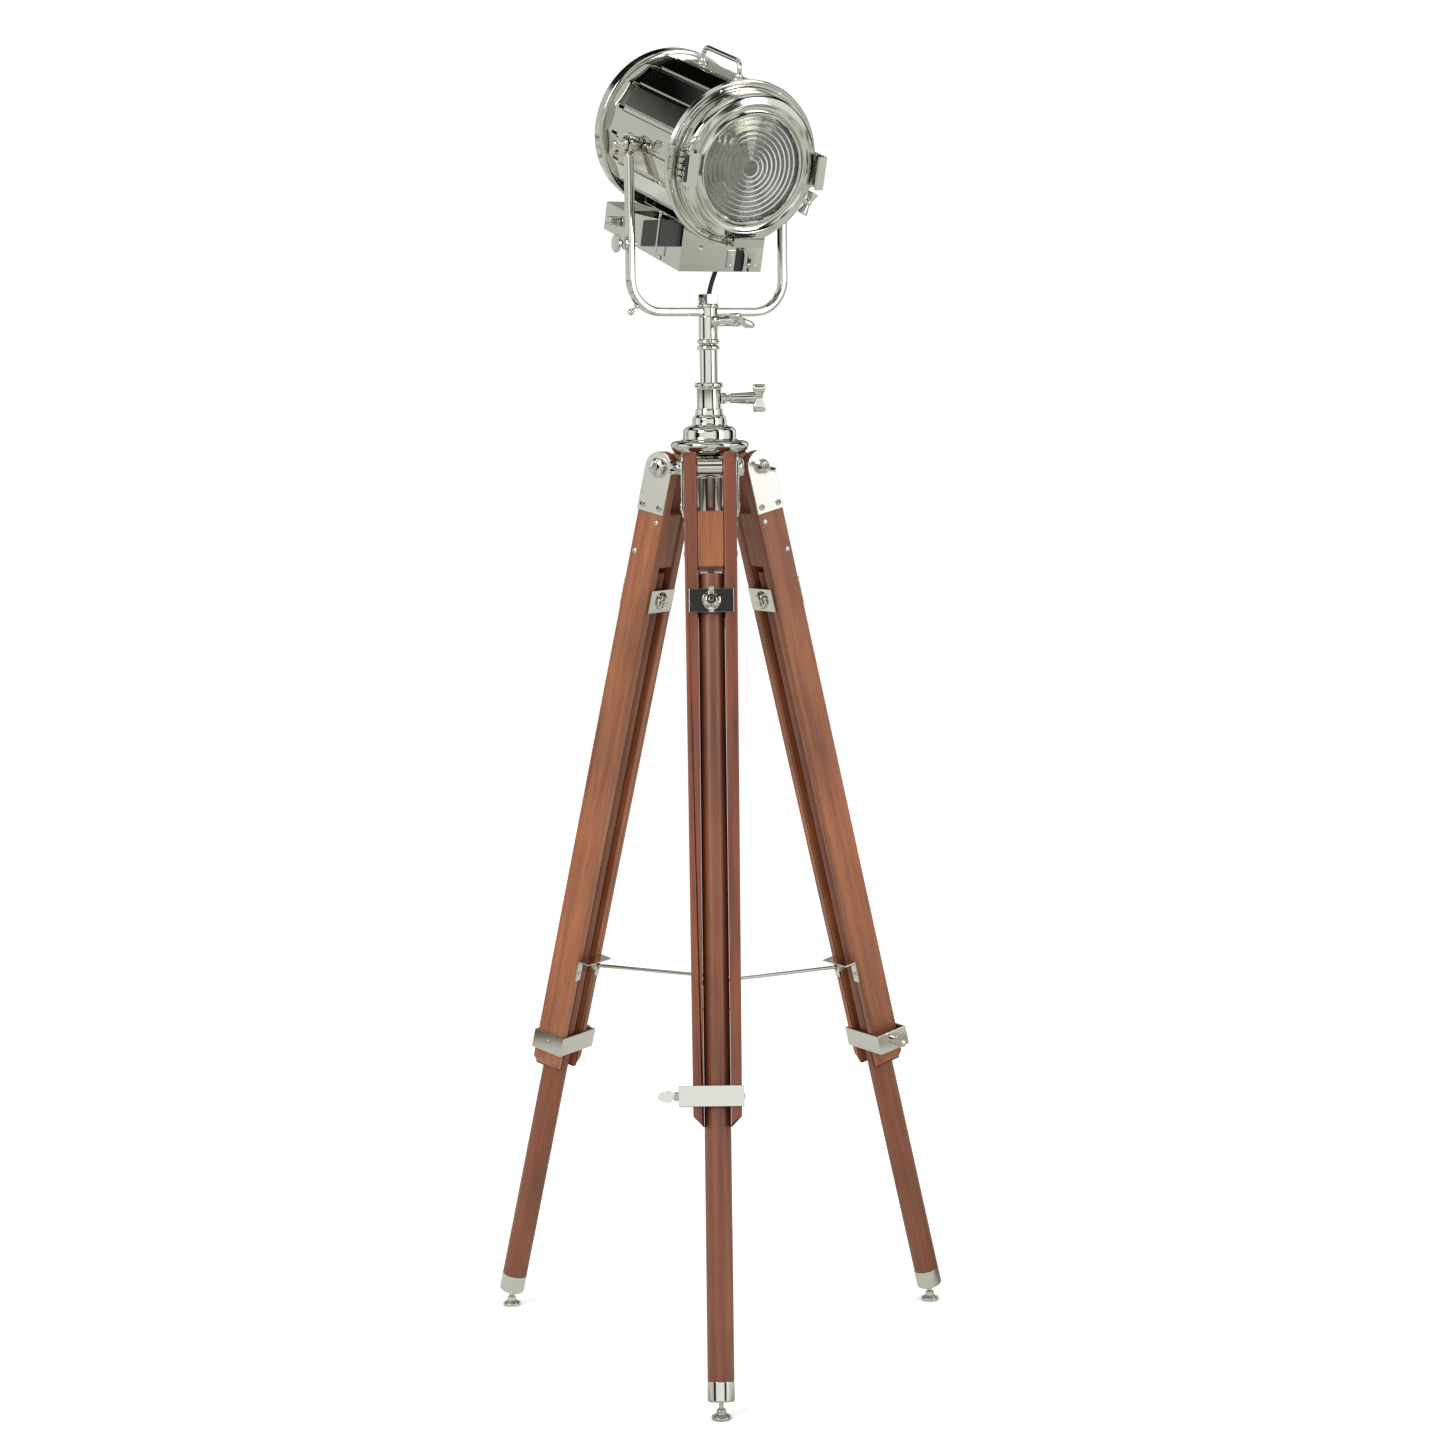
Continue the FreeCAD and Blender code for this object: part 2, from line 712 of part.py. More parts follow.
def make_lug_body():
    """The core with three lugs that the legs turn on, and the guide tube below it."""
    width = S.rail_gap - S.lug_clearance * 2
    pieces = []
    holes = []
    core_base = crown_base - S.lug_core_height
    pieces.append(cylinder((0, 0, core_base), "z", S.lug_core_radius, S.lug_core_height))
    tube_base = core_base - S.guide_tube_length
    pieces.append(cylinder((0, 0, tube_base), "z", S.guide_tube_radius, S.guide_tube_length))
    for angle in LEGS.values():
        arm = fuse(cylinder((-width / 2, 0, 0), "x", S.lug_radius, width),
                   box((0, S.pivot_radius / 2, 0), (width, S.pivot_radius, S.lug_radius * 2)))
        around = turn((0, 0, 1), angle)
        pivot = around.multVec(vector(0, -S.pivot_radius, S.pivot_height))
        arm.Placement = FreeCAD.Placement(pivot, around)
        pieces.append(arm)
        hole = cylinder((-width, 0, 0), "x", S.pivot_bolt_radius + S.bolt_clearance, width * 2)
        eye = group(hole)
        eye.Placement = FreeCAD.Placement(pivot, around)
        holes.append(eye)
    bore = cylinder((0, 0, tube_base - 1), "z", S.column_radius + S.slide_clearance,
                    S.guide_tube_length + S.lug_core_height + 2)
    return cut(fuse(*pieces), bore, *holes)


def make_column():
    """The tube that carries the yoke: a bead and a spigot at its top, and the cord's way inside."""
    bottom = swivel_height - S.column_length
    bead = swivel_height - S.column_bead_height
    spigot = swivel_height + S.spigot_length
    bore = S.spigot_radius - S.spigot_wall
    return turned([(S.column_bore_radius, bottom), (S.column_radius, bottom),
                   (S.column_radius, bead), (S.column_bead_radius, bead + 1),
                   (S.column_bead_radius, swivel_height - 1), (S.column_radius, swivel_height),
                   (S.spigot_radius, swivel_height), (S.spigot_radius, spigot),
                   (bore, spigot), (bore, swivel_height - 4),
                   (S.column_bore_radius, swivel_height - 8)])


def make_clamp_handle(stand, wing_turn):
    """A screw handle: a collar, a tapered grip and a pair of end wings, along its own Z."""
    grip = S.handle_grip_radius
    stem = turned([(0, stand), (S.handle_boss_radius, stand), (S.handle_boss_radius, stand + 6),
                   (S.handle_stem_radius, stand + 8), (S.handle_stem_radius, stand + 13),
                   (grip - 1, stand + 15), (grip, stand + 20), (grip, stand + 46), (4, stand + 47),
                   (4, stand + 54), (0, stand + 54)])
    top = stand + S.handle_length
    middle = top - S.handle_wing_height / 2
    wings = box((0, 0, middle), (S.handle_wing_thickness, S.handle_wing_span, S.handle_wing_height - 6))
    ends = [cylinder((-S.handle_wing_thickness / 2, side * (S.handle_wing_span / 2 - 3), middle), "x",
                     S.handle_wing_height / 2, S.handle_wing_thickness) for side in (-1, 1)]
    return fuse(stem, put(fuse(wings, *ends), (0, 0, 0), turn((0, 0, 1), wing_turn)))


def make_crown():
    node("crown_cap", make_crown_cap())
    node("lug_body", make_lug_body())
    node("column_tube", make_column())
    handle_height = collar_base + S.collar_height / 2
    handle = put(make_clamp_handle(S.collar_radius + 0.4, 90), (0, 0, handle_height), "x")
    node("collar_handle", group(handle))


# ---------------------------------------------------------------- stay hub
def make_stay_hub():
    """A round hub under the crown with three crossing holes, one above another."""
    middle = stay_pin_centre("right").z
    rods = []
    for name in LEGS:
        frame = stay_frame(name)
        rod = cylinder((0, 0, 0), "z", S.stay_rod_radius + S.hub_clearance, S.hub_radius * 4)
        hole = group(rod)
        start = vector(0, 0, frame.Base.z) - frame.Rotation.multVec(vector(0, S.hub_radius * 2, 0))
        hole.Placement = FreeCAD.Placement(start, frame.Rotation.multiply(ALONG["y"]))
        rods.append(hole)
    half = float(S.hub_height) / 2
    edge = 2
    body = turned([(0, middle - half), (S.hub_radius - edge, middle - half),
                   (S.hub_radius, middle - half + edge), (S.hub_radius, middle + half - edge),
                   (S.hub_radius - edge, middle + half), (0, middle + half)])
    return cut(body, *rods)


# ---------------------------------------------------------------- yoke
def make_yoke_bar():
    """The bent bar: a flat bottom, two large corners and two arms that end in eyes."""
    body = doc.addObject("PartDesign::Body", "YokeBar")
    outer = arm_outside
    inner = arm_inside
    sketch = outline(body, "XZ_Plane", [
        (-outer, strap_under), (outer, strap_under), (outer, head_centre), (inner, head_centre),
        (inner, strap_top), (-inner, strap_top), (-inner, head_centre), (-outer, head_centre)])
    pad = body.newObject("PartDesign::Pad", "Bar")
    pad.Profile = sketch
    pad.Midplane = True
    pad.setExpression("Length", formula(S.yoke_bar_width))
    doc.recompute()
    round_bends(body, pad, outer, strap_under, S.yoke_corner)
    round_bends(body, body.Tip, inner, strap_top, S.yoke_corner - S.yoke_bar_thickness)
    return body


def round_bends(body, feature, across, height, radius):
    """Rounds the two upright-seen corners of the bar at one level."""
    names = []
    for number, edge in enumerate(feature.Shape.Edges, start=1):
        middle = edge.CenterOfMass
        if abs(abs(middle.x) - float(across)) < 0.01 and abs(middle.z - float(height)) < 0.01:
            names.append(f"Edge{number}")
    bend = body.newObject("PartDesign::Fillet", "Bend")
    bend.Base = (feature, names)
    bend.setExpression("Radius", formula(radius))
    body.Tip = bend
    doc.recompute()


def make_yoke():
    """The yoke with its eyes, its stem and the nut that holds it on the swivel."""
    eyes = []
    holes = []
    for side in (-1, 1):
        start = arm_inside if side > 0 else -arm_outside
        eyes.append(cylinder((start, 0, head_centre), "x", S.eye_radius, S.yoke_bar_thickness))
        holes.append(cylinder((start - 5, 0, head_centre), "x",
                              S.trunnion_radius + S.bolt_clearance, S.yoke_bar_thickness + 10))
    screw_height = head_centre - S.thumbscrew_drop
    holes.append(cylinder((-arm_outside - 1, 0, screw_height), "x", 3.1, S.yoke_bar_thickness + 2))
    holes.append(cylinder((0, 0, strap_under - 1), "z", S.swivel_stem_radius + S.bolt_clearance,
                          S.yoke_bar_thickness + 2))
    boss = cylinder((0, 0, strap_under), "z", S.sleeve_radius, S.yoke_bar_thickness)
    bar = cut(fuse(make_yoke_bar(), boss, *eyes), *holes)
    nut = make_swivel_nut()
    tether = turned([(0, 0), (4, 0), (4, 3), (2, 5), (2, 9), (4.5, 12), (4.5, 16), (2, 18), (0, 18)])
    lean = turn((0, 1, 0), -135)
    corner = S.yoke_corner * (1 - math.sqrt(0.5))
    put(tether, (-arm_outside + corner - 0.2, 0, strap_under + corner - 0.2), lean)
    return group(bar, nut, tether)


def make_swivel_nut():
    """The washer, the hex nut and its hollow stem, in one piece."""
    hexagon = primitive("Prism", (0, 0, strap_top + S.washer_height), "z",
                        Circumradius=S.nut_across_flats / math.sqrt(3), Height=S.nut_height)
    hexagon.Polygon = 6
    washer = cylinder((0, 0, strap_top), "z", S.washer_radius, S.washer_height)
    stem_base = swivel_height + S.spigot_length + 2
    stem = cylinder((0, 0, stem_base), "z", S.swivel_stem_radius, strap_top - stem_base)
    way = cylinder((0, 0, stem_base - 1), "z", S.cord_way_radius, 60)
    return cut(fuse(hexagon, washer, stem), way)


def make_swivel_sleeve():
    """The sleeve that turns on the column's spigot and carries the yoke."""
    low = swivel_height + S.swivel_gap
    bore = S.spigot_radius + S.slide_clearance
    shoulder = swivel_height + S.spigot_length + 1
    neck = S.swivel_stem_radius + S.bolt_clearance
    return turned([(bore, low), (S.sleeve_radius, low), (S.sleeve_bead_radius, low + 3.5),
                   (S.sleeve_radius, low + 7), (S.sleeve_radius, strap_under),
                   (neck, strap_under), (neck, shoulder), (bore, shoulder)])


def make_tilt_wing(side):
    """A tilt lock: a boss on the trunnion with a long paddle."""
    face = arm_outside + S.fit_gap
    boss = turned([(S.trunnion_radius + S.bolt_clearance, 0), (S.tilt_boss_radius, 0),
                   (S.tilt_boss_radius, S.tilt_boss_height * 0.6),
                   (S.tilt_boss_radius * 0.7, S.tilt_boss_height),
                   (S.trunnion_radius + S.bolt_clearance, S.tilt_boss_height)])
    paddles = []
    for way in (-1, 1):
        reach = S.tilt_wing_reach
        paddles.append(slab([(way * S.tilt_boss_radius * 0.75, 2), (way * reach * 0.9, 3),
                             (way * reach, 8), (way * reach * 0.9, 13),
                             (way * S.tilt_boss_radius * 0.75, S.tilt_boss_height - 2)], 6))
    wing = fuse(boss, *paddles)
    along = turn((0, 1, 0), 90 * side).multiply(turn((0, 0, 1), 30))
    return group(put(wing, (side * face, 0, head_centre), along))


def make_thumbscrew():
    """The disc-headed screw through the left arm."""
    screw = turned([(0, -3), (3, -3), (3, S.yoke_bar_thickness + 0.3), (5.5, S.yoke_bar_thickness + 0.3),
                    (5.5, S.yoke_bar_thickness + 5), (3.5, S.yoke_bar_thickness + 7),
                    (3.5, S.yoke_bar_thickness + 12), (S.thumbscrew_radius, S.yoke_bar_thickness + 14),
                    (S.thumbscrew_radius, S.yoke_bar_thickness + 18), (0, S.yoke_bar_thickness + 18)])
    height = head_centre - S.thumbscrew_drop
    return group(put(screw, (-arm_inside, 0, height), "-x"))


def make_yoke_parts():
    node("yoke_strap", make_yoke(), PAN)
    node("swivel_sleeve", make_swivel_sleeve())
    handle = make_clamp_handle(S.sleeve_radius + 0.3, -25)
    height = strap_under - 7 - S.swivel_gap
    put(handle, (0, 0, height), "x")
    swivel_handle = group(handle)
    node("swivel_handle", swivel_handle,
         FreeCAD.Placement(vector(0, 0, 0), turn((0, 0, 1), -S.swivel_handle_turn)))
    node("tilt_wing_left", make_tilt_wing(-1), PAN)
    node("tilt_wing_right", make_tilt_wing(1), PAN)
    node("arm_thumbscrew", make_thumbscrew(), PAN)


# ---------------------------------------------------------------- head, in its own frame
def make_drum():
    """The drum: a thin tube with raised panels, air slots and the slot for the runner."""
    length = S.drum_front + S.drum_back
    blank = cylinder((0, -S.drum_front, 0), "y", S.drum_radius, length)
    skin = S.drum_radius - S.drum_rib
    bore = cylinder((0, -S.drum_front - 1, 0), "y", skin - S.drum_wall, length + 2)
    tools = [bore]
    pitch = 360 / int(DRIVING_SIZES["drum_panels"])
    groove_length = length - S.vent_length
    for number in range(int(DRIVING_SIZES["drum_panels"])):
        groove = box((0, -S.vent_length / 2 + S.drum_back / 2 - S.drum_front / 2, skin + S.drum_rib),
                     (S.panel_gap, groove_length, S.drum_rib * 2))
        vent = box((0, S.drum_back - S.vent_length * 1.5, skin),
                   (S.panel_gap * 0.6, S.vent_length, S.drum_rib * 4))
        slot = fuse(groove, vent)
        slot.Placement = FreeCAD.Placement(vector(0, 0, 0), turn((0, 1, 0), pitch * (number + 0.5)))
        tools.append(slot)
    runner = box((0, 0, -S.drum_radius), (S.runner_slot_width, S.runner_slot_length, 30))
    tools.append(runner)
    for side in (-1, 1):
        start = S.drum_radius - 12 if side > 0 else -S.drum_radius - 12
        tools.append(cylinder((start, 0, 0), "x", S.trunnion_radius + S.bolt_clearance, 24))
    return cut(blank, *tools)


def make_trunnions():
    """A stud and a ribbed bush on each side of the drum."""
    pieces = []
    inner = S.drum_radius - S.drum_rib - S.drum_wall - 4
    outer = arm_outside + S.tilt_boss_height + 3
    for side in (-1, 1):
        along = "x" if side > 0 else "-x"
        stud = cylinder((side * inner, 0, 0), along, S.trunnion_radius, outer - inner)
        bush_length = arm_inside - S.drum_radius - S.fit_gap - 0.5
        bush = cylinder((side * (S.drum_radius + 0.5), 0, 0), along, S.bush_radius, bush_length)
        washer_place = S.drum_radius - S.drum_rib - S.drum_wall - 5
        washer = cylinder((side * washer_place, 0, 0), along, S.bush_radius, 3)
        pieces.append(fuse(stud, bush, washer))
    return group(*pieces)


def make_back_cover():
    """The rear cap: a band over the drum's end and a dished plate."""
    radius = S.back_cover_radius
    wall = S.back_cover_wall
    lap = S.drum_back - S.back_cover_lap
    end = S.drum_back + S.back_cover_depth
    seat = S.drum_radius + 0.3
    return turned([(0, end + S.back_cover_dish - wall), (radius * 0.45, end + S.back_cover_dish - wall),
                   (radius * 0.8, end - wall), (radius - wall, end - wall), (radius - wall, S.drum_back + 2),
                   (seat, S.drum_back), (seat, lap), (radius, lap), (radius, end - 2),
                   (radius - 2, end), (radius * 0.8, end), (radius * 0.45, end + S.back_cover_dish),
                   (0, end + S.back_cover_dish)], along="y")


def make_front_collar():
    """The front flange, its seat on the drum, and the fixed half of the door hinge."""
    front = S.drum_front + S.flange_thickness
    ring = turned([(S.flange_bore, S.drum_front + 0.2), (S.drum_radius + 1, S.drum_front + 0.2),
                   (S.flange_radius, S.drum_front + 2), (S.flange_radius, front - 2),
                   (S.flange_radius - 2, front), (S.flange_bore, front)], along="-y")
    hinge_y = -(front + S.hinge_radius)
    knuckle = S.hinge_height / 3
    pieces = [ring]
    for side in (-1, 1):
        low = knuckle / 2 + 0.3 if side > 0 else -S.hinge_height / 2
        pieces.append(cylinder((-S.hinge_offset, hinge_y, low), "z", S.hinge_radius, knuckle - 0.3))
        middle = low + (knuckle - 0.3) / 2
        pieces.append(box((-S.hinge_offset, hinge_y + S.hinge_radius / 2, middle),
                          (S.hinge_radius * 1.6, S.hinge_radius + 0.4, knuckle - 0.3)))
    pieces.append(cylinder((-S.hinge_offset, hinge_y, -S.hinge_height / 2), "z",
                           S.hinge_pin_radius, S.hinge_height))
    return fuse(*pieces)


def make_carry_handle():
    """The bent rod on top of the drum, standing on two flanged feet."""
    foot = S.drum_radius + 0.3
    top = foot + S.handle_rise
    leg = S.handle_rise - S.handle_bend
    legs = []
    for side in (-1, 1):
        place = S.handle_place + side * S.handle_span / 2
        legs.append(cylinder((0, place, foot), "z", S.handle_rod_radius, leg))
        legs.append(cone((0, place, foot), "z", 9, S.handle_rod_radius + 1, 5))
        bend = primitive("Torus", (0, place - side * S.handle_bend, foot + leg),
                         turn((0, 0, 1), 90 * side).multiply(turn((1, 0, 0), 90)),
                         Radius1=S.handle_bend, Radius2=S.handle_rod_radius, Angle3=90)
        legs.append(bend)
    bar = cylinder((0, S.handle_place - S.handle_span / 2 + S.handle_bend, top), "y",
                   S.handle_rod_radius, S.handle_span - S.handle_bend * 2)
    return fuse(bar, *legs)


door_back = S.drum_front + S.flange_thickness + S.door_gap
door_shoulder = door_back + S.door_depth
door_front = door_shoulder + S.door_bevel
lens_front = door_front - 3


def make_door():
    """The lens door: a short tube, a bevel, a lip round the glass and the hinge's moving half."""
    wall = S.door_wall
    seat = S.lens_radius + 0.3
    glass_back = lens_front - S.lens_thickness
    shell = turned([(S.door_radius - wall, door_back), (S.door_radius, door_back),
                    (S.door_radius, door_shoulder), (S.door_lip_outer, door_front - 1),
                    (S.door_lip_outer - 2, door_front), (S.door_lip_radius, door_front),
                    (S.door_lip_radius, lens_front + 0.1), (seat, lens_front + 0.1), (seat, glass_back),
                    (seat + 3, glass_back - 1), (S.door_radius - wall, door_shoulder - 4)], along="-y")
    hinge_y = -(S.drum_front + S.flange_thickness + S.hinge_radius)
    knuckle = S.hinge_height / 3
    barrel = cylinder((-S.hinge_offset, hinge_y, -knuckle / 2 + 0.1), "z", S.hinge_radius, knuckle - 0.2)
    leaf_reach = S.hinge_offset - S.door_radius + 4
    leaf = box((-S.hinge_offset + leaf_reach / 2, hinge_y - 1.5, 0), (leaf_reach, 3, knuckle - 0.2))
    clear = cylinder((0, -door_front, 0), "y", S.door_radius - wall / 2, S.door_depth + S.door_bevel)
    pin_way = cylinder((-S.hinge_offset, hinge_y, -knuckle), "z",
                       S.hinge_pin_radius + S.bolt_clearance, knuckle * 2)
    return cut(fuse(shell, cut(fuse(barrel, leaf), clear)), pin_way)


def make_lens():
    """The stepped lens: a flat back and rings on the front that rise towards their outer edge."""
    back = lens_front - S.lens_thickness
    rings = int(DRIVING_SIZES["lens_rings"])
    low = lens_front - S.lens_step
    rim = S.door_lip_radius - 0.5
    width = rim * (1 / (rings + 0.5))
    points = [(0, back), (S.lens_radius, back), (S.lens_radius, low), (rim, low)]
    for number in range(rings, 0, -1):
        outer = rim - width * (rings - number)
        inner = outer - width
        points.append((outer - width * 0.15, lens_front - 0.2))
        points.append((inner, low))
    points.append((0, low))
    return turned(points, along="-y")


def make_frame_clips():
    """Three channels on the door that hold a filter frame."""
    depth = S.clip_slot + S.clip_wall * 2
    back_lip = door_front + 0.3
    root = door_shoulder - 6
    clips = []
    for angle in (0, 90, 180):
        near = S.door_radius + 0.2
        wall = box((near + S.clip_wall / 2, -(back_lip + depth + root) / 2, 0),
                   (S.clip_wall, back_lip + depth - root, S.clip_width))
        lips = []
        for place in (back_lip, back_lip + S.clip_slot + S.clip_wall):
            lips.append(box((near + S.clip_wall - S.clip_reach / 2, -place - S.clip_wall / 2, 0),
                            (S.clip_reach, S.clip_wall, S.clip_width)))
        clip = fuse(wall, *lips)
        clip.Placement = FreeCAD.Placement(vector(0, 0, 0), turn((0, 1, 0), angle))
        clips.append(clip)
    return group(*clips)


def make_door_latch():
    """The pinch screw on the flange's lower right: a stub with two trumpets across its end."""
    start = S.flange_radius + 0.3
    half = S.latch_half
    stub = turned([(0, start), (5.5, start), (5.5, start + 2), (3.5, start + 3.5),
                   (3.5, start + S.latch_reach), (0, start + S.latch_reach)])
    grip = turned([(0, -half), (S.latch_radius, -half), (S.latch_radius, 2 - half), (4, -6), (4, 6),
                   (S.latch_radius, half - 2), (S.latch_radius, half), (0, half)],
                  (0, 0, start + S.latch_reach), "x")
    latch = fuse(stub, grip)
    latch.Placement = FreeCAD.Placement(vector(0, -S.drum_front - S.flange_thickness / 2, 0),
                                        turn((0, 1, 0), S.latch_turn))
    return group(latch)


def make_control_box():
    """The sheet-metal housing that cradles the drum."""
    width = S.box_half_width * 2
    shell = slab([(-S.box_front, -S.box_bottom), (S.box_back, -S.box_bottom),
                  (S.box_back, -S.box_top_back), (S.drum_back - 10, -S.box_top_back),
                  (S.drum_back - 10, -S.box_side_top), (-S.box_front, -S.box_side_top)],
                 width, along=turn((0, 0, 1), 90))
    cradle = cylinder((0, -S.box_front - 20, 0), "y", S.drum_radius + 0.3,
                      S.box_front + S.drum_back + 40)
    wall = S.box_wall
    inner_width = width - wall * 2
    floor = -S.box_bottom + wall
    rear = S.drum_back - 10 - wall
    front_length = rear + S.box_front - wall
    open_part = box((0, rear - front_length / 2, floor + 50), (inner_width, front_length, 100))
    tail_length = S.box_back - rear - wall * 2 + 2
    tail_height = S.box_bottom - S.box_top_back - wall * 2
    tail = box((0, S.box_back - wall - tail_length / 2, floor + tail_height / 2),
               (inner_width, tail_length, tail_height))
    hole = cylinder((S.cord_exit_side, -S.cord_exit_front, -S.box_bottom - 5), "z",
                    S.cord_hole_radius, 10)
    shaft = cylinder((-S.box_half_width - 5, S.focus_place, focus_axis), "x",
                     S.focus_shaft_radius + S.bolt_clearance, 10)
    return cut(shell, cradle, open_part, tail, hole, shaft)


focus_axis = -S.runner_under - S.roller_radius - S.roller_clearance


def make_box_panel():
    """The black terminal cover on the housing's left side, level while the lamp looks a little down."""
    back = S.panel_back
    front = back - S.panel_length
    low = -S.panel_low
    slope = S.panel_rise / S.panel_length
    crest = back - (-S.panel_top - low - S.panel_height) / slope
    corner = S.panel_corner
    face = -S.box_half_width - S.panel_thickness / 2 - 0.1
    return group(slab([(back, low), (front, low + S.panel_rise), (front, -S.panel_top - corner),
                       (front + corner, -S.panel_top), (crest, -S.panel_top), (back, low + S.panel_height)],
                      S.panel_thickness, (face, 0, 0), turn((0, 0, 1), 90)))


def make_carriage():
    """The lamp holder's plate, its stem and the runner bar that the roller drives."""
    plate_top = -S.carriage_height
    plate = box((0, 14, plate_top), (S.carriage_width, S.carriage_length, S.carriage_plate))
    stem_height = S.runner_under - S.runner_height - S.carriage_height + 2
    stem = box((0, 0, plate_top - stem_height / 2), (S.runner_width, 24, stem_height))
    bar_length = S.runner_front + S.runner_back
    bar = box((0, (S.runner_back - S.runner_front) / 2, -S.runner_under + S.runner_height / 2),
              (S.runner_width, bar_length, S.runner_height))
    socket = cylinder((0, S.bulb_place, plate_top), "z", 17, 26)
    post = box((0, S.reflector_place + 3, plate_top + 22), (12, 3, 44))
    return fuse(plate, stem, bar, socket, post)


def make_bulb():
    """The lamp: a base, a neck and a round glass."""
    base = -S.carriage_height + 26.2
    globe = S.globe_radius
    neck = fuse(cylinder((0, S.bulb_place, base), "z", 13, 14),
                cone((0, S.bulb_place, base + 14), "z", 13, globe * 0.75, -base - 14 - globe * 0.6),
                ball((0, S.bulb_place, 0), globe))
    return neck


def make_reflector():
    """A shallow dish behind the lamp, open towards the lens."""
    depth = S.reflector_depth
    wall = 1.2
    radius = S.reflector_radius
    return turned([(0, 0), (radius * 0.5, -depth * 0.2), (radius * 0.85, -depth * 0.65), (radius, -depth),
                   (radius + wall, -depth), (radius * 0.87, -depth * 0.62 + wall),
                   (radius * 0.5, -depth * 0.2 + wall), (0, wall)],
                  (0, S.reflector_place, 0), "y")


def make_focus_knob():
    """The knob, its shaft through the housing's side, and the rubber-tyred roller on its end."""
    outside = -S.box_half_width - 0.6
    shaft = cylinder((outside, S.focus_place, focus_axis), "x", S.focus_shaft_radius,
                     S.box_half_width + 10)
    roller = cylinder((-6, S.focus_place, focus_axis), "x", S.roller_radius, 12)
    grip = turned([(0, 0), (S.focus_knob_radius, 0), (S.focus_knob_radius, S.focus_knob_length - 3),
                   (S.focus_knob_radius - 3, S.focus_knob_length), (0, S.focus_knob_length)],
                  (outside, S.focus_place, focus_axis), "-x")
    return fuse(shaft, roller, grip)


def make_cord():
    """The flex from the swivel nut up into the housing: two runs joined by one arc."""
    exit_point = HEAD.multVec(vector(S.cord_exit_side, -S.cord_exit_front, -S.box_bottom))
    start = vector(0, 0, strap_top + 2)
    bend = vector(0, 0, strap_top + S.washer_height + S.nut_height + 6)
    into = exit_point - bend
    end = exit_point + into * (2 / into.Length)
    first = (start - bend)
    second = (end - bend)
    shorter = min(first.Length, second.Length)
    straight_on = math.pi - first.getAngle(second)
    trim = 0.45 * shorter
    radius = trim / math.tan(straight_on / 2)
    print(f"cord bend radius {radius:.1f} mm, diameter {2 * float(S.cord_radius):.1f} mm")
    one = bend + first * (trim / first.Length)
    two = bend + second * (trim / second.Length)
    towards = (first * (1 / first.Length) + second * (1 / second.Length))
    towards.normalize()
    centre = bend + towards * (radius / math.cos(straight_on / 2))
    middle = centre - towards * radius
    path = Part.Wire([Part.LineSegment(start, one).toShape(), Part.Arc(one, middle, two).toShape(),
                      Part.LineSegment(two, end).toShape()])
    section = Part.Wire(Part.makeCircle(float(S.cord_radius), start, vector(0, 0, 1)))
    item = doc.addObject("Part::Feature", "Cord")
    item.Shape = path.makePipeShell([section], True, False)
    wanted = math.pi * float(S.cord_radius) ** 2 * path.Length
    print(f"cord volume {item.Shape.Volume:.0f}, section times length {wanted:.0f}")
    return item


def make_head():
    parts = {
        "drum_shell": make_drum(),
        "trunnion_pins": make_trunnions(),
        "back_cover": group(make_back_cover()),
        "front_collar": make_front_collar(),
        "carry_handle": make_carry_handle(),
        "door_bezel": make_door(),
        "fresnel_lens": group(make_lens()),
        "frame_clips": make_frame_clips(),
        "door_latch": make_door_latch(),
        "control_box": make_control_box(),
        "box_panel": group(make_box_panel()),
        "lamp_carriage": make_carriage(),
        "lamp_bulb": make_bulb(),
        "reflector": group(make_reflector()),
        "focus_knob": make_focus_knob(),
    }
    for label, item in parts.items():
        node(label, item, HEAD)
    node("lamp_cord", make_cord())


def check_and_write():
    """Stops on anything that failed or is not a valid solid, then writes one file a node."""
    doc.recompute()
    for item in doc.Objects:
        states = set(item.State) & {"Invalid", "Error"}
        if states:
            raise RuntimeError(f"{item.Label} ({item.Name}) is {sorted(states)}")
    for item in nodes:
        shape = item.Shape
        if shape.isNull() or not shape.isValid() or not shape.Solids:
            raise RuntimeError(f"{item.Label} has no valid solid")
    os.makedirs("parts", exist_ok=True)
    for item in nodes:
        item.Shape.exportStep(f"parts/{item.Label}.step")
    print(f"{len(nodes)} sub-parts written")


make_legs()
make_crown()
node("stay_hub", make_stay_hub())
make_yoke_parts()
make_head()
check_and_write()
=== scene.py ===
# %% [markdown]
# A search-light floor lamp: a nickel-plated drum with a stepped lens, held in a yoke on a column,
# on a tripod of stained wood. The metal frame comes from the design model, in metres, +Z up.
# This notebook gives every piece its finished shape and its finish, one piece at a time.

# %% Load the design
import json
import math
import bpy
import bmesh
from mathutils import Matrix, Vector


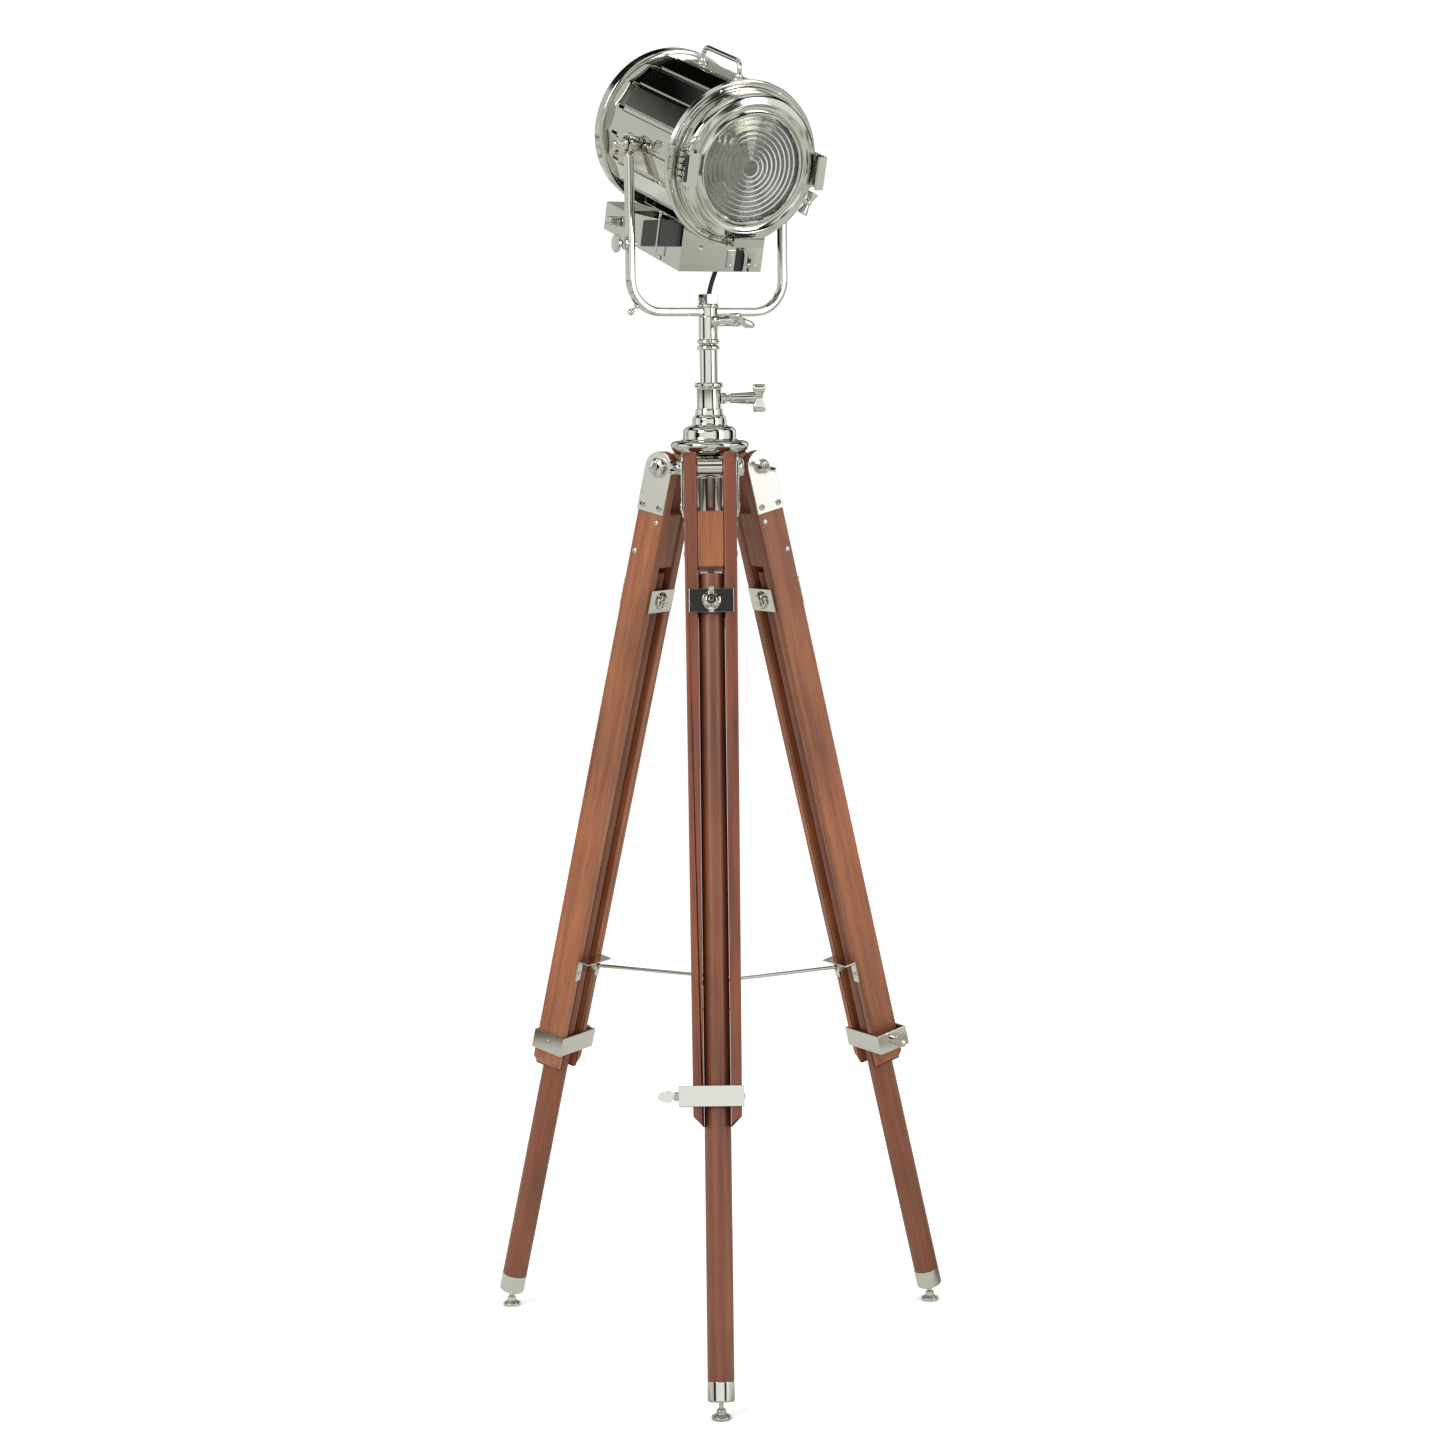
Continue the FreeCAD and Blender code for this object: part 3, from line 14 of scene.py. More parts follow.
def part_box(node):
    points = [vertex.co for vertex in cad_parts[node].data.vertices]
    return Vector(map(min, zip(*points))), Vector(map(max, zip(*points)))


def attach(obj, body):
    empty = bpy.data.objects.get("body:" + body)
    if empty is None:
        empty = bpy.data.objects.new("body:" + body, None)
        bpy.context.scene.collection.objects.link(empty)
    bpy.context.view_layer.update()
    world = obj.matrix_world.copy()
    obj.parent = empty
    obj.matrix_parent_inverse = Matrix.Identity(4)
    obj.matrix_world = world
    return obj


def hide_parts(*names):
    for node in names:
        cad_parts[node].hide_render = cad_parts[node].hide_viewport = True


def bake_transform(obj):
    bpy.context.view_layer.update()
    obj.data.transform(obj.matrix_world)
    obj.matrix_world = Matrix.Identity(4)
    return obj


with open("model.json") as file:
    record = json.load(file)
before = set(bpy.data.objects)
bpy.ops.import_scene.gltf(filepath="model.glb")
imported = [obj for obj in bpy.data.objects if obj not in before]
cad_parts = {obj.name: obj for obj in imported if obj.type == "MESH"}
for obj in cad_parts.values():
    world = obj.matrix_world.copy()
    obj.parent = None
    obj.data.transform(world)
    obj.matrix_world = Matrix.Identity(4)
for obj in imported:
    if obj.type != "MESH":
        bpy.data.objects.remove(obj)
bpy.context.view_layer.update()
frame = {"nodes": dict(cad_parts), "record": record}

MM = 0.001
JOINTS = {joint["name"]: joint for joint in frame["record"]["behaviour"]["joints"]}
SLOTS = {part["node"]: part["material_slot"] for part in frame["record"]["subparts"]}
BODIES = {node: body for body, nodes in frame["record"]["behaviour"]["bodies"].items() for node in nodes}

# %% [markdown]
# The camera stands about four and a half metres away at the height of a standing viewer's chest,
# with a long lens, so that the tripod's legs stay nearly parallel. It leans down by six degrees
# and rolls by less than one, as a hand-levelled studio tripod does.

# %% Camera
CAMERA_PLACE = Vector((0.0097, -4.471, 1.365))
LONG_LENS, LEAN_DOWN, ROLL = 78.9, 5.9, -0.72


def turn(degrees, axis):
    """A turn by some degrees round one axis through the origin."""
    return Matrix.Rotation(math.radians(degrees), 4, axis)


bpy.ops.object.camera_add(location=CAMERA_PLACE)
camera = bpy.context.object
camera.data.sensor_width = 36
camera.data.lens = LONG_LENS
camera.matrix_world = Matrix.Translation(CAMERA_PLACE) @ turn(90 - LEAN_DOWN, "X") @ turn(ROLL, "Z")
bpy.context.scene.camera = camera

# %% [markdown]
# Every finish below is a small tree of shader nodes. Three helpers keep that short: the first
# turns an sRGB hex colour into the linear values that shaders take, the second adds a node with
# its settings, values and links, and the third fills in a colour ramp.

# %% Helpers for colours and nodes
def linear_colour(hex_code):
    """An sRGB hex colour as the linear RGBA that shaders take."""
    channels = [int(hex_code[i:i + 2], 16) / 255 for i in (1, 3, 5)]
    linear = [c / 12.92 if c <= 0.04045 else ((c + 0.055) / 1.055) ** 2.4 for c in channels]
    return (*linear, 1)


def add_node(tree, kind, settings=None, values=None, links=None):
    """Adds one shader node: its settings, its inputs' values and its inputs' links, all by name."""
    node = tree.nodes.new(f"ShaderNode{kind}")
    for name, value in (settings or {}).items():
        setattr(node, name, value)
    for name, value in (values or {}).items():
        node.inputs[name].default_value = value
    for name, source in (links or {}).items():
        tree.links.new(source, node.inputs[name])
    return node


def fill_ramp(node, stops):
    """Sets a colour ramp's stops from (place, hex colour) pairs."""
    elements = node.color_ramp.elements
    while len(elements) < len(stops):
        elements.new(0.5)
    for element, (place, colour) in zip(elements, stops):
        element.position = place
        element.color = linear_colour(colour)

# %% [markdown]
# Polished metal has no colour of its own to show: what the eye reads as nickel is the studio
# mirrored in it. So the walls are those of a white tent with a few dark gaps between its sheets,
# and two black cloths, called flags, hang in it to darken one part of the metal each. Only
# mirror-like surfaces see the gaps and the flags; floor and wood are lit by plain white walls.

# %% The studio's walls
MULTIPLY = {"data_type": "RGBA", "blend_type": "MULTIPLY"}
GAPS = [(0.0, "#FFFFFF"), (0.115, "#F4F4F0"), (0.13, "#101010"), (0.165, "#0C0C0C"), (0.18, "#8E8D80"),
        (0.205, "#F4F4F0"), (0.28, "#FFFFFF"), (0.30, "#A8ABA4"), (0.36, "#D9DCD6"), (0.375, "#F6F6F2"),
        (0.395, "#5C5C54"), (0.415, "#F0F0EC"), (0.435, "#D8D8D2"), (0.447, "#9A9A92"), (0.555, "#8E8E86"),
        (0.57, "#A9ABA2"), (0.60, "#F4F4F0"), (0.645, "#FFFFFF"), (0.66, "#101010"), (0.70, "#141412"),
        (0.72, "#8C8B7E"), (0.75, "#F6F6F2"), (0.86, "#FFFFFF"), (0.88, "#3A3A34"), (0.91, "#2A2A26"),
        (0.93, "#F4F4F0"), (0.96, "#FFFFFF")]
world = bpy.data.worlds.new("light_tent")
world.use_nodes = True
bpy.context.scene.world = world
sky = world.node_tree
sky.nodes.clear()
direction = add_node(sky, "TexCoord")
split = add_node(sky, "SeparateXYZ", links={"Vector": direction.outputs["Generated"]})
around = add_node(sky, "Math", {"operation": "ARCTAN2"},
                  links={0: split.outputs["X"], 1: split.outputs["Y"]})
share = add_node(sky, "MapRange", values={"From Min": -math.pi, "From Max": math.pi},
                 links={"Value": around.outputs[0]})
gaps = add_node(sky, "ValToRGB", links={"Fac": share.outputs[0]})
fill_ramp(gaps, GAPS)
rise = add_node(sky, "MapRange", values={"From Min": -1.0, "From Max": 1.0},
                links={"Value": split.outputs["Z"]})
ceiling = add_node(sky, "ValToRGB", links={"Fac": rise.outputs[0]})
fill_ramp(ceiling, [(0.0, "#F4F4F2"), (0.46, "#F4F4F2"), (0.485, "#5A5A56"), (0.50, "#FFFFFF"),
                    (0.74, "#FFFFFF"), (0.78, "#1A1A18"), (0.86, "#101010"), (0.89, "#FFFFFF"),
                    (0.96, "#FFFFFF")])
tent = add_node(sky, "Mix", MULTIPLY, {"Factor": 1.0},
                {"A": gaps.outputs["Color"], "B": ceiling.outputs["Color"]})


def hang_flag(light, wide, high):
    """A black cloth between two shares of the circle and two shares of the height."""
    sides = add_node(sky, "ValToRGB", links={"Fac": share.outputs[0]})
    fill_ramp(sides, wide)
    ends = add_node(sky, "ValToRGB", links={"Fac": rise.outputs[0]})
    fill_ramp(ends, high)
    cloth = add_node(sky, "Mix", {**MULTIPLY, "blend_type": "LIGHTEN"}, {"Factor": 1.0},
                     {"A": sides.outputs["Color"], "B": ends.outputs["Color"]})
    return add_node(sky, "Mix", MULTIPLY, {"Factor": 0.95},
                    {"A": light.outputs["Result"], "B": cloth.outputs["Result"]})


WHITE, DARK = "#FFFFFF", "#000000"
flagged = hang_flag(
    tent, [(0.0, DARK), (0.035, DARK), (0.05, WHITE), (0.95, WHITE), (0.965, DARK), (1.0, DARK)],
    [(0.0, WHITE), (0.645, WHITE), (0.66, DARK), (0.745, DARK), (0.76, WHITE)])
flagged = hang_flag(
    flagged, [(0.0, WHITE), (0.435, WHITE), (0.447, DARK), (0.555, DARK), (0.567, WHITE)],
    [(0.0, WHITE), (0.40, WHITE), (0.42, DARK), (0.60, DARK), (0.62, WHITE)])
mirrored = add_node(sky, "Background", values={"Strength": 1.15},
                    links={"Color": flagged.outputs["Result"]})
plain = add_node(sky, "Background", {}, {"Color": (1, 1, 1, 1), "Strength": 1.1})
kind_of_ray = add_node(sky, "LightPath")
walls = add_node(sky, "MixShader",
                 links={"Fac": kind_of_ray.outputs["Is Glossy Ray"], 1: plain.outputs[0],
                        2: mirrored.outputs[0]})
add_node(sky, "OutputWorld", links={"Surface": walls.outputs[0]})

# %% [markdown]
# The floor is matt white paper. The metal would mirror it as one even white, though, where a real
# studio's floor has cloths and stands on it. So for mirror-like rays the floor glows with painted
# light and painted dark strips, a painted reflection of such things, and all else sees plain paper.
# Two large softboxes give the light its direction.

# %% Floor and lamps
bpy.ops.mesh.primitive_plane_add(size=60, location=(0, 0, 0))
floor = bpy.context.object
floor.name = "studio_floor"
floor_finish = bpy.data.materials.new("pale_paper_floor")
floor_finish.use_nodes = True
tree = floor_finish.node_tree
paper = tree.nodes["Principled BSDF"]
for socket, value in (("Base Color", linear_colour("#FBFBFA")), ("Roughness", 0.9),
                      ("Specular IOR Level", 0.0)):
    paper.inputs[socket].default_value = value
floor.data.materials.append(floor_finish)
# For mirror-like rays the floor is an emission: painted light with painted dark strips, a painted reflection,
# as no cloths or stands are built.
ground = add_node(tree, "TexCoord").outputs["Object"]
painted_strip_noise = add_node(tree, "TexNoise", values={"Scale": 0.55, "Detail": 1.0}, links={"Vector": ground})
strips = add_node(tree, "ValToRGB", links={"Fac": painted_strip_noise.outputs[0]})
fill_ramp(strips, [(0.30, "#3A392F"), (0.36, "#8A887A"), (0.42, "#E2E1D9"), (0.56, "#F4F4EE"),
                   (0.64, "#A9A798"), (0.70, "#ECECE6")])
mirrored_floor = add_node(tree, "Emission", values={"Strength": 0.95}, links={"Color": strips.outputs["Color"]})
ray = add_node(tree, "LightPath")
seen_floor = add_node(tree, "MixShader", links={"Fac": ray.outputs["Is Glossy Ray"], 1: paper.outputs[0],
                                                2: mirrored_floor.outputs[0]})
tree.links.new(seen_floor.outputs[0], tree.nodes["Material Output"].inputs["Surface"])


def add_softbox(name, place, aim, size, power):
    """One large area lamp that points at a place."""
    bpy.ops.object.light_add(type="AREA", location=place)
    lamp = bpy.context.object
    lamp.name = name
    lamp.data.shape = "RECTANGLE"
    lamp.data.size, lamp.data.size_y = size
    lamp.data.energy = power
    lamp.rotation_euler = (Vector(aim) - Vector(place)).to_track_quat("-Z", "Y").to_euler()


add_softbox("key_softbox", (-3.0, -3.4, 3.4), (0, 0, 1.1), (1.8, 2.6), 95)
add_softbox("fill_softbox", (3.4, -2.6, 2.4), (0, 0, 1.0), (1.2, 2.6), 40)
bpy.context.scene.view_settings.view_transform = "Standard"

# %% [markdown]
# Nickel plate is a slightly warm white metal, electroplated on brass or steel and then buffed on a
# cloth wheel. That leaves it mirror-bright, with hazy patches a hand's breadth across where the
# buffing was lighter, and fine wipe marks, which show only as small changes of gloss.

# %% Nickel
def new_finish(name, base, metallic, roughness):
    """A material with its plain values on the shader's own sockets."""
    finish = bpy.data.materials.new(name)
    finish.use_nodes = True
    shader = finish.node_tree.nodes["Principled BSDF"]
    shader.inputs["Base Color"].default_value = linear_colour(base)
    shader.inputs["Metallic"].default_value = metallic
    shader.inputs["Roughness"].default_value = roughness
    return finish, finish.node_tree, shader


def nickel_plate(name, base, dullest, brightest, ripple):
    """Buffed nickel: haze patches of 70 mm, wipe marks of 3 mm and a ripple of the sheet below."""
    finish, tree, shader = new_finish(name, base, 1.0, 0.08)
    place = add_node(tree, "TexCoord").outputs["Object"]
    haze = add_node(tree, "TexNoise", values={"Scale": 1 / (70 * MM), "Detail": 2.0},
                    links={"Vector": place})
    wiped = add_node(tree, "Mapping", values={"Scale": (1, 1, 6)}, links={"Vector": place})
    marks = add_node(tree, "TexNoise", values={"Scale": 1 / (3 * MM), "Detail": 3.0},
                     links={"Vector": wiped.outputs[0]})
    both = add_node(tree, "Math", {"operation": "MULTIPLY"},
                    links={0: haze.outputs[0], 1: marks.outputs[0]})
    gloss = add_node(tree, "MapRange", values={"From Min": 0.12, "From Max": 0.40,
                                                       "To Min": brightest, "To Max": dullest},
                     links={"Value": both.outputs[0]})
    tree.links.new(gloss.outputs[0], shader.inputs["Roughness"])
    waves = add_node(tree, "TexNoise", values={"Scale": 1 / (45 * MM), "Detail": 1.0},
                     links={"Vector": place})
    bump = add_node(tree, "Bump", values={"Strength": ripple, "Distance": 0.6 * MM},
                    links={"Height": waves.outputs[0]})
    tree.links.new(bump.outputs[0], shader.inputs["Normal"])
    return finish


NICKEL = nickel_plate("buffed_nickel_plate", "#D2D1CA", 0.07, 0.02, 0.07)
SHEET_NICKEL = nickel_plate("nickel_plated_sheet", "#CBCCC5", 0.14, 0.06, 0.12)
SATIN_NICKEL = nickel_plate("satin_nickel_sheet", "#DDDDD8", 0.42, 0.34, 0.05)

# %% [markdown]
# The rails are beech stained a reddish brown under a thin satin lacquer. Beech has short dark
# flecks about 2 mm long and soft bands of growth 8 to 15 mm wide, both along the piece. The stain
# gathers in them. Each leg leans its own way, so each gets its own turn of the same pattern. The
# rails of each leg, the lower legs and the spacer are also made lighter or darker as a whole: that
# is painted light and shade, for how the light falls on each.

# %% Wood
DEEPEST = 0.86  # the brightness of the most stained patches, as a share of the palest
LEG_TILT = 13.76
LEG_ANGLE = {"front": 0.0, "left": -120.0, "right": 120.0}
PIVOT = Vector((0, -61, 1263)) * MM


def leg_frame(leg):
    """A leg's own frame: X across it, -Y outward, Z up along it, origin on its pivot."""
    return turn(LEG_ANGLE[leg], "Z") @ Matrix.Translation(PIVOT) @ turn(-LEG_TILT, "X")


def stained_beech(name, leg, tone):
    """Stained beech with its grain along one leg; the colour given last is painted light and shade: the piece
    made lighter or darker for how the light falls on it.
    """
    deep = "#" + "".join(f"{int(int(tone[i:i + 2], 16) * DEEPEST):02X}" for i in (1, 3, 5))
    finish, tree, shader = new_finish(f"stained_beech_{name}", "#8A5638", 0.0, 0.4)
    place = add_node(tree, "TexCoord").outputs["Object"]
    straighten = leg_frame(leg).to_3x3().inverted().to_euler("XYZ")
    aligned = add_node(tree, "Mapping", values={"Rotation": straighten}, links={"Vector": place})
    along = add_node(tree, "Mapping", values={"Scale": (1.0, 1.0, 0.045)},
                     links={"Vector": aligned.outputs[0]})
    bands = add_node(tree, "TexNoise", {"noise_dimensions": "3D"},
                     {"Scale": 1 / (11 * MM), "Detail": 4.0, "Distortion": 0.5},
                     {"Vector": along.outputs[0]})
    fibres = add_node(tree, "TexNoise", values={"Scale": 1 / (1.6 * MM), "Detail": 4.0},
                      links={"Vector": along.outputs[0]})
    patches = add_node(tree, "TexNoise", values={"Scale": 1 / (160 * MM), "Detail": 2.0},
                       links={"Vector": aligned.outputs[0]})
    growth = add_node(tree, "ValToRGB", links={"Fac": bands.outputs[0]})
    fill_ramp(growth, [(0.28, "#7E4A2C"), (0.42, "#93573A"), (0.58, "#9E6240"), (0.74, "#AA6C47")])
    streak = add_node(tree, "ValToRGB", links={"Fac": fibres.outputs[0]})
    fill_ramp(streak, [(0.28, "#A98B74"), (0.48, "#F6F0EA")])
    streaked = add_node(tree, "Mix", MULTIPLY, {"Factor": 0.5},
                        {"A": growth.outputs["Color"], "B": streak.outputs["Color"]})
    shade = add_node(tree, "ValToRGB", links={"Fac": patches.outputs[0]})
    fill_ramp(shade, [(0.30, deep), (0.65, tone)])
    stain = add_node(tree, "Mix", MULTIPLY, {"Factor": 1.0},
                     {"A": streaked.outputs["Result"], "B": shade.outputs["Color"]})
    tree.links.new(stain.outputs["Result"], shader.inputs["Base Color"])
    satin = add_node(tree, "MapRange", values={"To Min": 0.52, "To Max": 0.34},
                     links={"Value": fibres.outputs[0]})
    tree.links.new(satin.outputs[0], shader.inputs["Roughness"])
    pores = add_node(tree, "Bump", values={"Strength": 0.35, "Distance": 0.12 * MM},
                     links={"Height": fibres.outputs[0]})
    tree.links.new(pores.outputs[0], shader.inputs["Normal"])
    shader.inputs["Coat Weight"].default_value = 0.15
    shader.inputs["Coat Roughness"].default_value = 0.3
    return finish


# Painted light and shade: one stained beech, made lighter or darker for each leg's rails, the lower legs and
# the spacer by how the light falls on them.
RAIL_LIGHT_AND_SHADE = {"front": "#CDB3A6", "left": "#FCFAE8", "right": "#F2EBD6"}
WOOD = {leg: stained_beech(f"rail_{leg}", leg, tone) for leg, tone in RAIL_LIGHT_AND_SHADE.items()}
LOWER_WOOD = {leg: stained_beech(f"lower_{leg}", leg, "#C6B5A0") for leg in LEG_ANGLE}
SPACER_WOOD = stained_beech("spacer_front", "front", "#F4EDD8")

# %% [markdown]
# The terminal cover is moulded phenolic or ABS, black, with a fine spark-eroded texture. The flex
# is black PVC. Both are dull enough that they show only a soft sheen along their rounded edges.

# %% Black plastic and flex
def black_moulding(name, base, roughness, grain, depth):
    """A black plastic with a moulded texture whose grains have a real size in millimetres."""
    finish, tree, shader = new_finish(name, base, 0.0, roughness)
    place = add_node(tree, "TexCoord").outputs["Object"]
    texture = add_node(tree, "TexNoise", values={"Scale": 1 / (grain * MM), "Detail": 3.0},
                       links={"Vector": place})
    sheen = add_node(tree, "MapRange", values={"To Min": roughness - 0.08,
                                                       "To Max": roughness + 0.08},
                     links={"Value": texture.outputs[0]})
    tree.links.new(sheen.outputs[0], shader.inputs["Roughness"])
    bump = add_node(tree, "Bump", values={"Strength": 0.3, "Distance": depth * MM},
                    links={"Height": texture.outputs[0]})
    tree.links.new(bump.outputs[0], shader.inputs["Normal"])
    return finish


BLACK = black_moulding("black_moulded_abs", "#1B1B1D", 0.42, 0.8, 0.05)
RUBBER = black_moulding("black_pvc_flex", "#131314", 0.5, 1.2, 0.04)

# %% [markdown]
# The lens is pressed borosilicate glass. Its curved faces are clear, so the reflector and the bulb
# show through them, and the steps between its rings are ground, so each is a pale line. A share of
# white scatter makes the difference. The bulb's glass is clear, with a warm brass cap below.

# %% Glass
def pressed_glass(name, base, clear, roughness):
    """Glass with a share of white scatter, and stipple marks 2 mm across."""
    finish, tree, shader = new_finish(name, base, 0.0, roughness)
    shader.inputs["Transmission Weight"].default_value = clear
    shader.inputs["IOR"].default_value = 1.47
    place = add_node(tree, "TexCoord").outputs["Object"]
    stipple = add_node(tree, "TexNoise", values={"Scale": 1 / (2 * MM), "Detail": 1.0},
                       links={"Vector": place})
    gloss = add_node(tree, "MapRange", values={"To Min": roughness * 0.4, "To Max": roughness * 1.6},
                     links={"Value": stipple.outputs[0]})
    tree.links.new(gloss.outputs[0], shader.inputs["Roughness"])
    return finish


LENS_GLASS = pressed_glass("pressed_borosilicate_glass", "#F1F3EE", 0.93, 0.02)
GROUND_GLASS = pressed_glass("ground_glass_step", "#F4F4F0", 0.3, 0.3)
BULB_GLASS = pressed_glass("clear_bulb_glass", "#FFF4E4", 0.95, 0.02)
MIRROR = nickel_plate("polished_reflector", "#ECECE8", 0.06, 0.02, 0.1)

FINISH_OF_SLOT = {
    "nickel_steel": NICKEL, "nickel_casting": NICKEL, "nickel_sheet": SHEET_NICKEL,
    "stained_wood": WOOD["front"], "black_plastic": BLACK, "cord_rubber": RUBBER,
    "lens_glass": LENS_GLASS, "bulb_glass": BULB_GLASS, "mirror": MIRROR,
}


def finish_of(node):
    """The finish that a design piece takes, from its slot and, for wood, its leg."""
    leg = node.split("_")[-1]
    if node.startswith("lower_leg"):
        return LOWER_WOOD[leg]
    return WOOD[leg] if SLOTS[node] == "stained_wood" else FINISH_OF_SLOT[SLOTS[node]]


for node, piece in frame["nodes"].items():
    piece.data.materials.clear()
    piece.data.materials.append(finish_of(node))

# %% [markdown]
# Most metal pieces here are turned on a lathe. In Blender that is one vertex, extruded point by
# point into an outline and spun round an axis. Extruding keeps each step of the profile exactly
# where the turner would cut it, which a cylinder pushed into shape would not. Outlines are in
# millimetres from the axis and along it, and spun meshes have their doubles merged and their
# normals turned outward.

# %% The lathe
def deselect():
    """An operator works on all that is selected, so nothing else may be."""
    bpy.ops.object.select_all(action="DESELECT")


def take(piece):
    """Makes one piece the only one selected, and the active one."""
    deselect()
    piece.select_set(True)
    bpy.context.view_layer.objects.active = piece


def block(name, centre, span, add=bpy.ops.mesh.primitive_cube_add):
    """A primitive, a cube unless another is named, at its size and place in millimetres."""
    deselect()
    add(size=1, location=Vector(centre) * MM)
    piece = bpy.context.object
    piece.name = name
    piece.scale = Vector(span) * MM
    bpy.ops.object.transform_apply(location=True, rotation=True, scale=True)
    return piece


def edit_all(kind="FACE"):
    """Opens the active piece in edit mode with every element of a kind selected."""
    bpy.ops.object.mode_set(mode="EDIT")
    bpy.ops.mesh.select_mode(type=kind)
    bpy.ops.mesh.select_all(action="SELECT")


def merge_and_turn_out(within=0.001):
    """Merges doubles within a distance in millimetres and turns every normal outward."""
    bpy.ops.mesh.select_all(action="SELECT")
    bpy.ops.mesh.remove_doubles(threshold=within * MM)
    bpy.ops.mesh.normals_make_consistent(inside=False)


def extrude_on(step):
    """Extrudes what is selected by a step in millimetres."""
    bpy.ops.mesh.extrude_region_move(TRANSFORM_OT_translate={"value": Vector(step) * MM})


def lathe(name, outline, steps=72):
    """Spins an outline of (radius, height) points in millimetres round +Z."""
    piece = block(name, (0, 0, 0), (1, 1, 1), bpy.ops.mesh.primitive_plane_add)
    edit_all("VERT")
    bpy.ops.mesh.merge(type="CENTER")
    bpy.ops.transform.translate(value=Vector((outline[0][0], 0, outline[0][1])) * MM)
    for before, after in zip(outline, outline[1:]):
        extrude_on((after[0] - before[0], 0, after[1] - before[1]))
    bpy.ops.mesh.select_all(action="SELECT")
    bpy.ops.mesh.spin(steps=steps, angle=2 * math.pi, center=(0, 0, 0), axis=(0, 0, 1))
    merge_and_turn_out()
    bpy.ops.object.mode_set(mode="OBJECT")
    return piece


def at(*place):
    """A placement at a place in millimetres."""
    return Matrix.Translation(Vector(place) * MM)


def along(axis, place=(0, 0, 0)):
    """A placement that turns +Z to an axis, at a place in millimetres."""
    return at(*place) @ Vector(axis).to_track_quat("Z", "Y").to_matrix().to_4x4()


def move_mesh(piece, placement):
    """Puts a piece's mesh in its place; the object itself stays at the origin."""
    take(piece)
    piece.matrix_world = placement
    bpy.ops.object.transform_apply(location=True, rotation=True, scale=True)
    return piece


def weld(name, *pieces):
    """Joins pieces that are one part on the real object; a bare one takes the first one's finish."""
    for piece in pieces[1:]:
        if pieces[0].data.materials and not piece.data.materials:
            piece.data.materials.append(pieces[0].data.materials[0])
    deselect()
    for piece in pieces:
        piece.select_set(True)
    bpy.context.view_layer.objects.active = pieces[0]
    bpy.ops.object.join()
    pieces[0].name = name
    return pieces[0]


def modify(piece, kind, **settings):
    """Gives a piece one modifier with its settings, and applies it."""
    take(piece)
    modifier = piece.modifiers.new(kind.lower(), kind)
    for name, value in settings.items():
        setattr(modifier, name, value)
    bpy.ops.object.modifier_apply(modifier=modifier.name)
    return piece


def ease_edges(piece, width, angle=30, segments=2, clamped=True):
    """Breaks the sharp edges, as a file or a buffing wheel does, by a width in millimetres."""
    return modify(piece, "BEVEL", width=width * MM, segments=segments, limit_method="ANGLE",
                  angle_limit=math.radians(angle), use_clamp_overlap=clamped)


def cut_out(piece, *cutters):
    """Cuts pieces out of a piece and removes them."""
    for cutter in cutters:
        modify(piece, "BOOLEAN", object=cutter, solver="EXACT")
        bpy.data.objects.remove(cutter)
    return piece


SMOOTH_BELOW = math.radians(32)


def fit(piece, node, *others, placement=None, finish=None):
    """Places a piece, smooths it, gives it its finish, and lets it stand for a design piece."""
    if placement is not None:
        move_mesh(piece, placement)
    take(piece)
    bpy.ops.object.shade_smooth_by_angle(angle=SMOOTH_BELOW)
    modify(piece, "WEIGHTED_NORMAL", keep_sharp=True)
    if not piece.data.materials:
        piece.data.materials.append(finish or finish_of(node))
    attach(piece, BODIES[node])
    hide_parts(node, *others)
    print(piece.name, "has", len(piece.data.polygons), "faces")
    return piece


def slotted_screw(name, radius, height, place, axis):
    """A domed screw head, turned, with a slot cut across it."""
    head = lathe(name, [(0, -0.3), (radius, -0.3), (radius, height * 0.35), (radius * 0.8, height * 0.8),
                        (radius * 0.45, height), (0, height * 1.05)], 24)
    cut_out(head, block(f"{name}_slot", (0, 0, height), (radius * 2.4, radius * 0.26, height * 0.9)))
    return move_mesh(head, along(axis, place))


TILT_PLACE = Vector(JOINTS["head_tilt"]["pos_m"])
PAN_ANGLE = math.atan2(JOINTS["head_tilt"]["axis"][1], JOINTS["head_tilt"]["axis"][0])
HEAD_LEAN = 17
PAN = Matrix.Rotation(PAN_ANGLE, 4, "Z")
HEAD = Matrix.Translation(TILT_PLACE) @ PAN @ turn(HEAD_LEAN, "X")
FORWARD = turn(90, "X")
print("the tilt axis is", round(TILT_PLACE.z, 4), "m up, turned", round(math.degrees(PAN_ANGLE), 1),
      "degrees")

# %% [markdown]
# The stepped lens is pressed in one piece: a plain button in the middle and nine rings, each a
# slice of the same curved surface, with a step back to the front between them. It is one outline
# on the lathe, with three points to each ring so that every ring stays curved.

# %% Stepped lens
RINGS = 9
BUTTON, RING_EDGE, LENS_BACK, LENS_CREST = 11.5, 73.5, 129.6, 135.2
STEP_BACK = 2.6
lens_outline = [(0, LENS_BACK), (75.6, LENS_BACK), (75.6, 132.2), (RING_EDGE, 132.2)]
pitch = (RING_EDGE - BUTTON) / RINGS
for ring in reversed(range(RINGS)):
    inner = BUTTON + ring * pitch
    lens_outline += [(inner + pitch, LENS_CREST - STEP_BACK), (inner + pitch * 0.55, LENS_CREST - 1.0),
                     (inner + 0.9, LENS_CREST),
                     (inner, LENS_CREST - (STEP_BACK if ring else 1.4))]
lens_outline += [(BUTTON * 0.9, LENS_CREST - 1.0), (BUTTON * 0.5, LENS_CREST - 0.4), (0, LENS_CREST - 0.2)]
lens = lathe("stepped_lens", lens_outline, 96)
lens.data.materials.append(LENS_GLASS)
lens.data.materials.append(GROUND_GLASS)
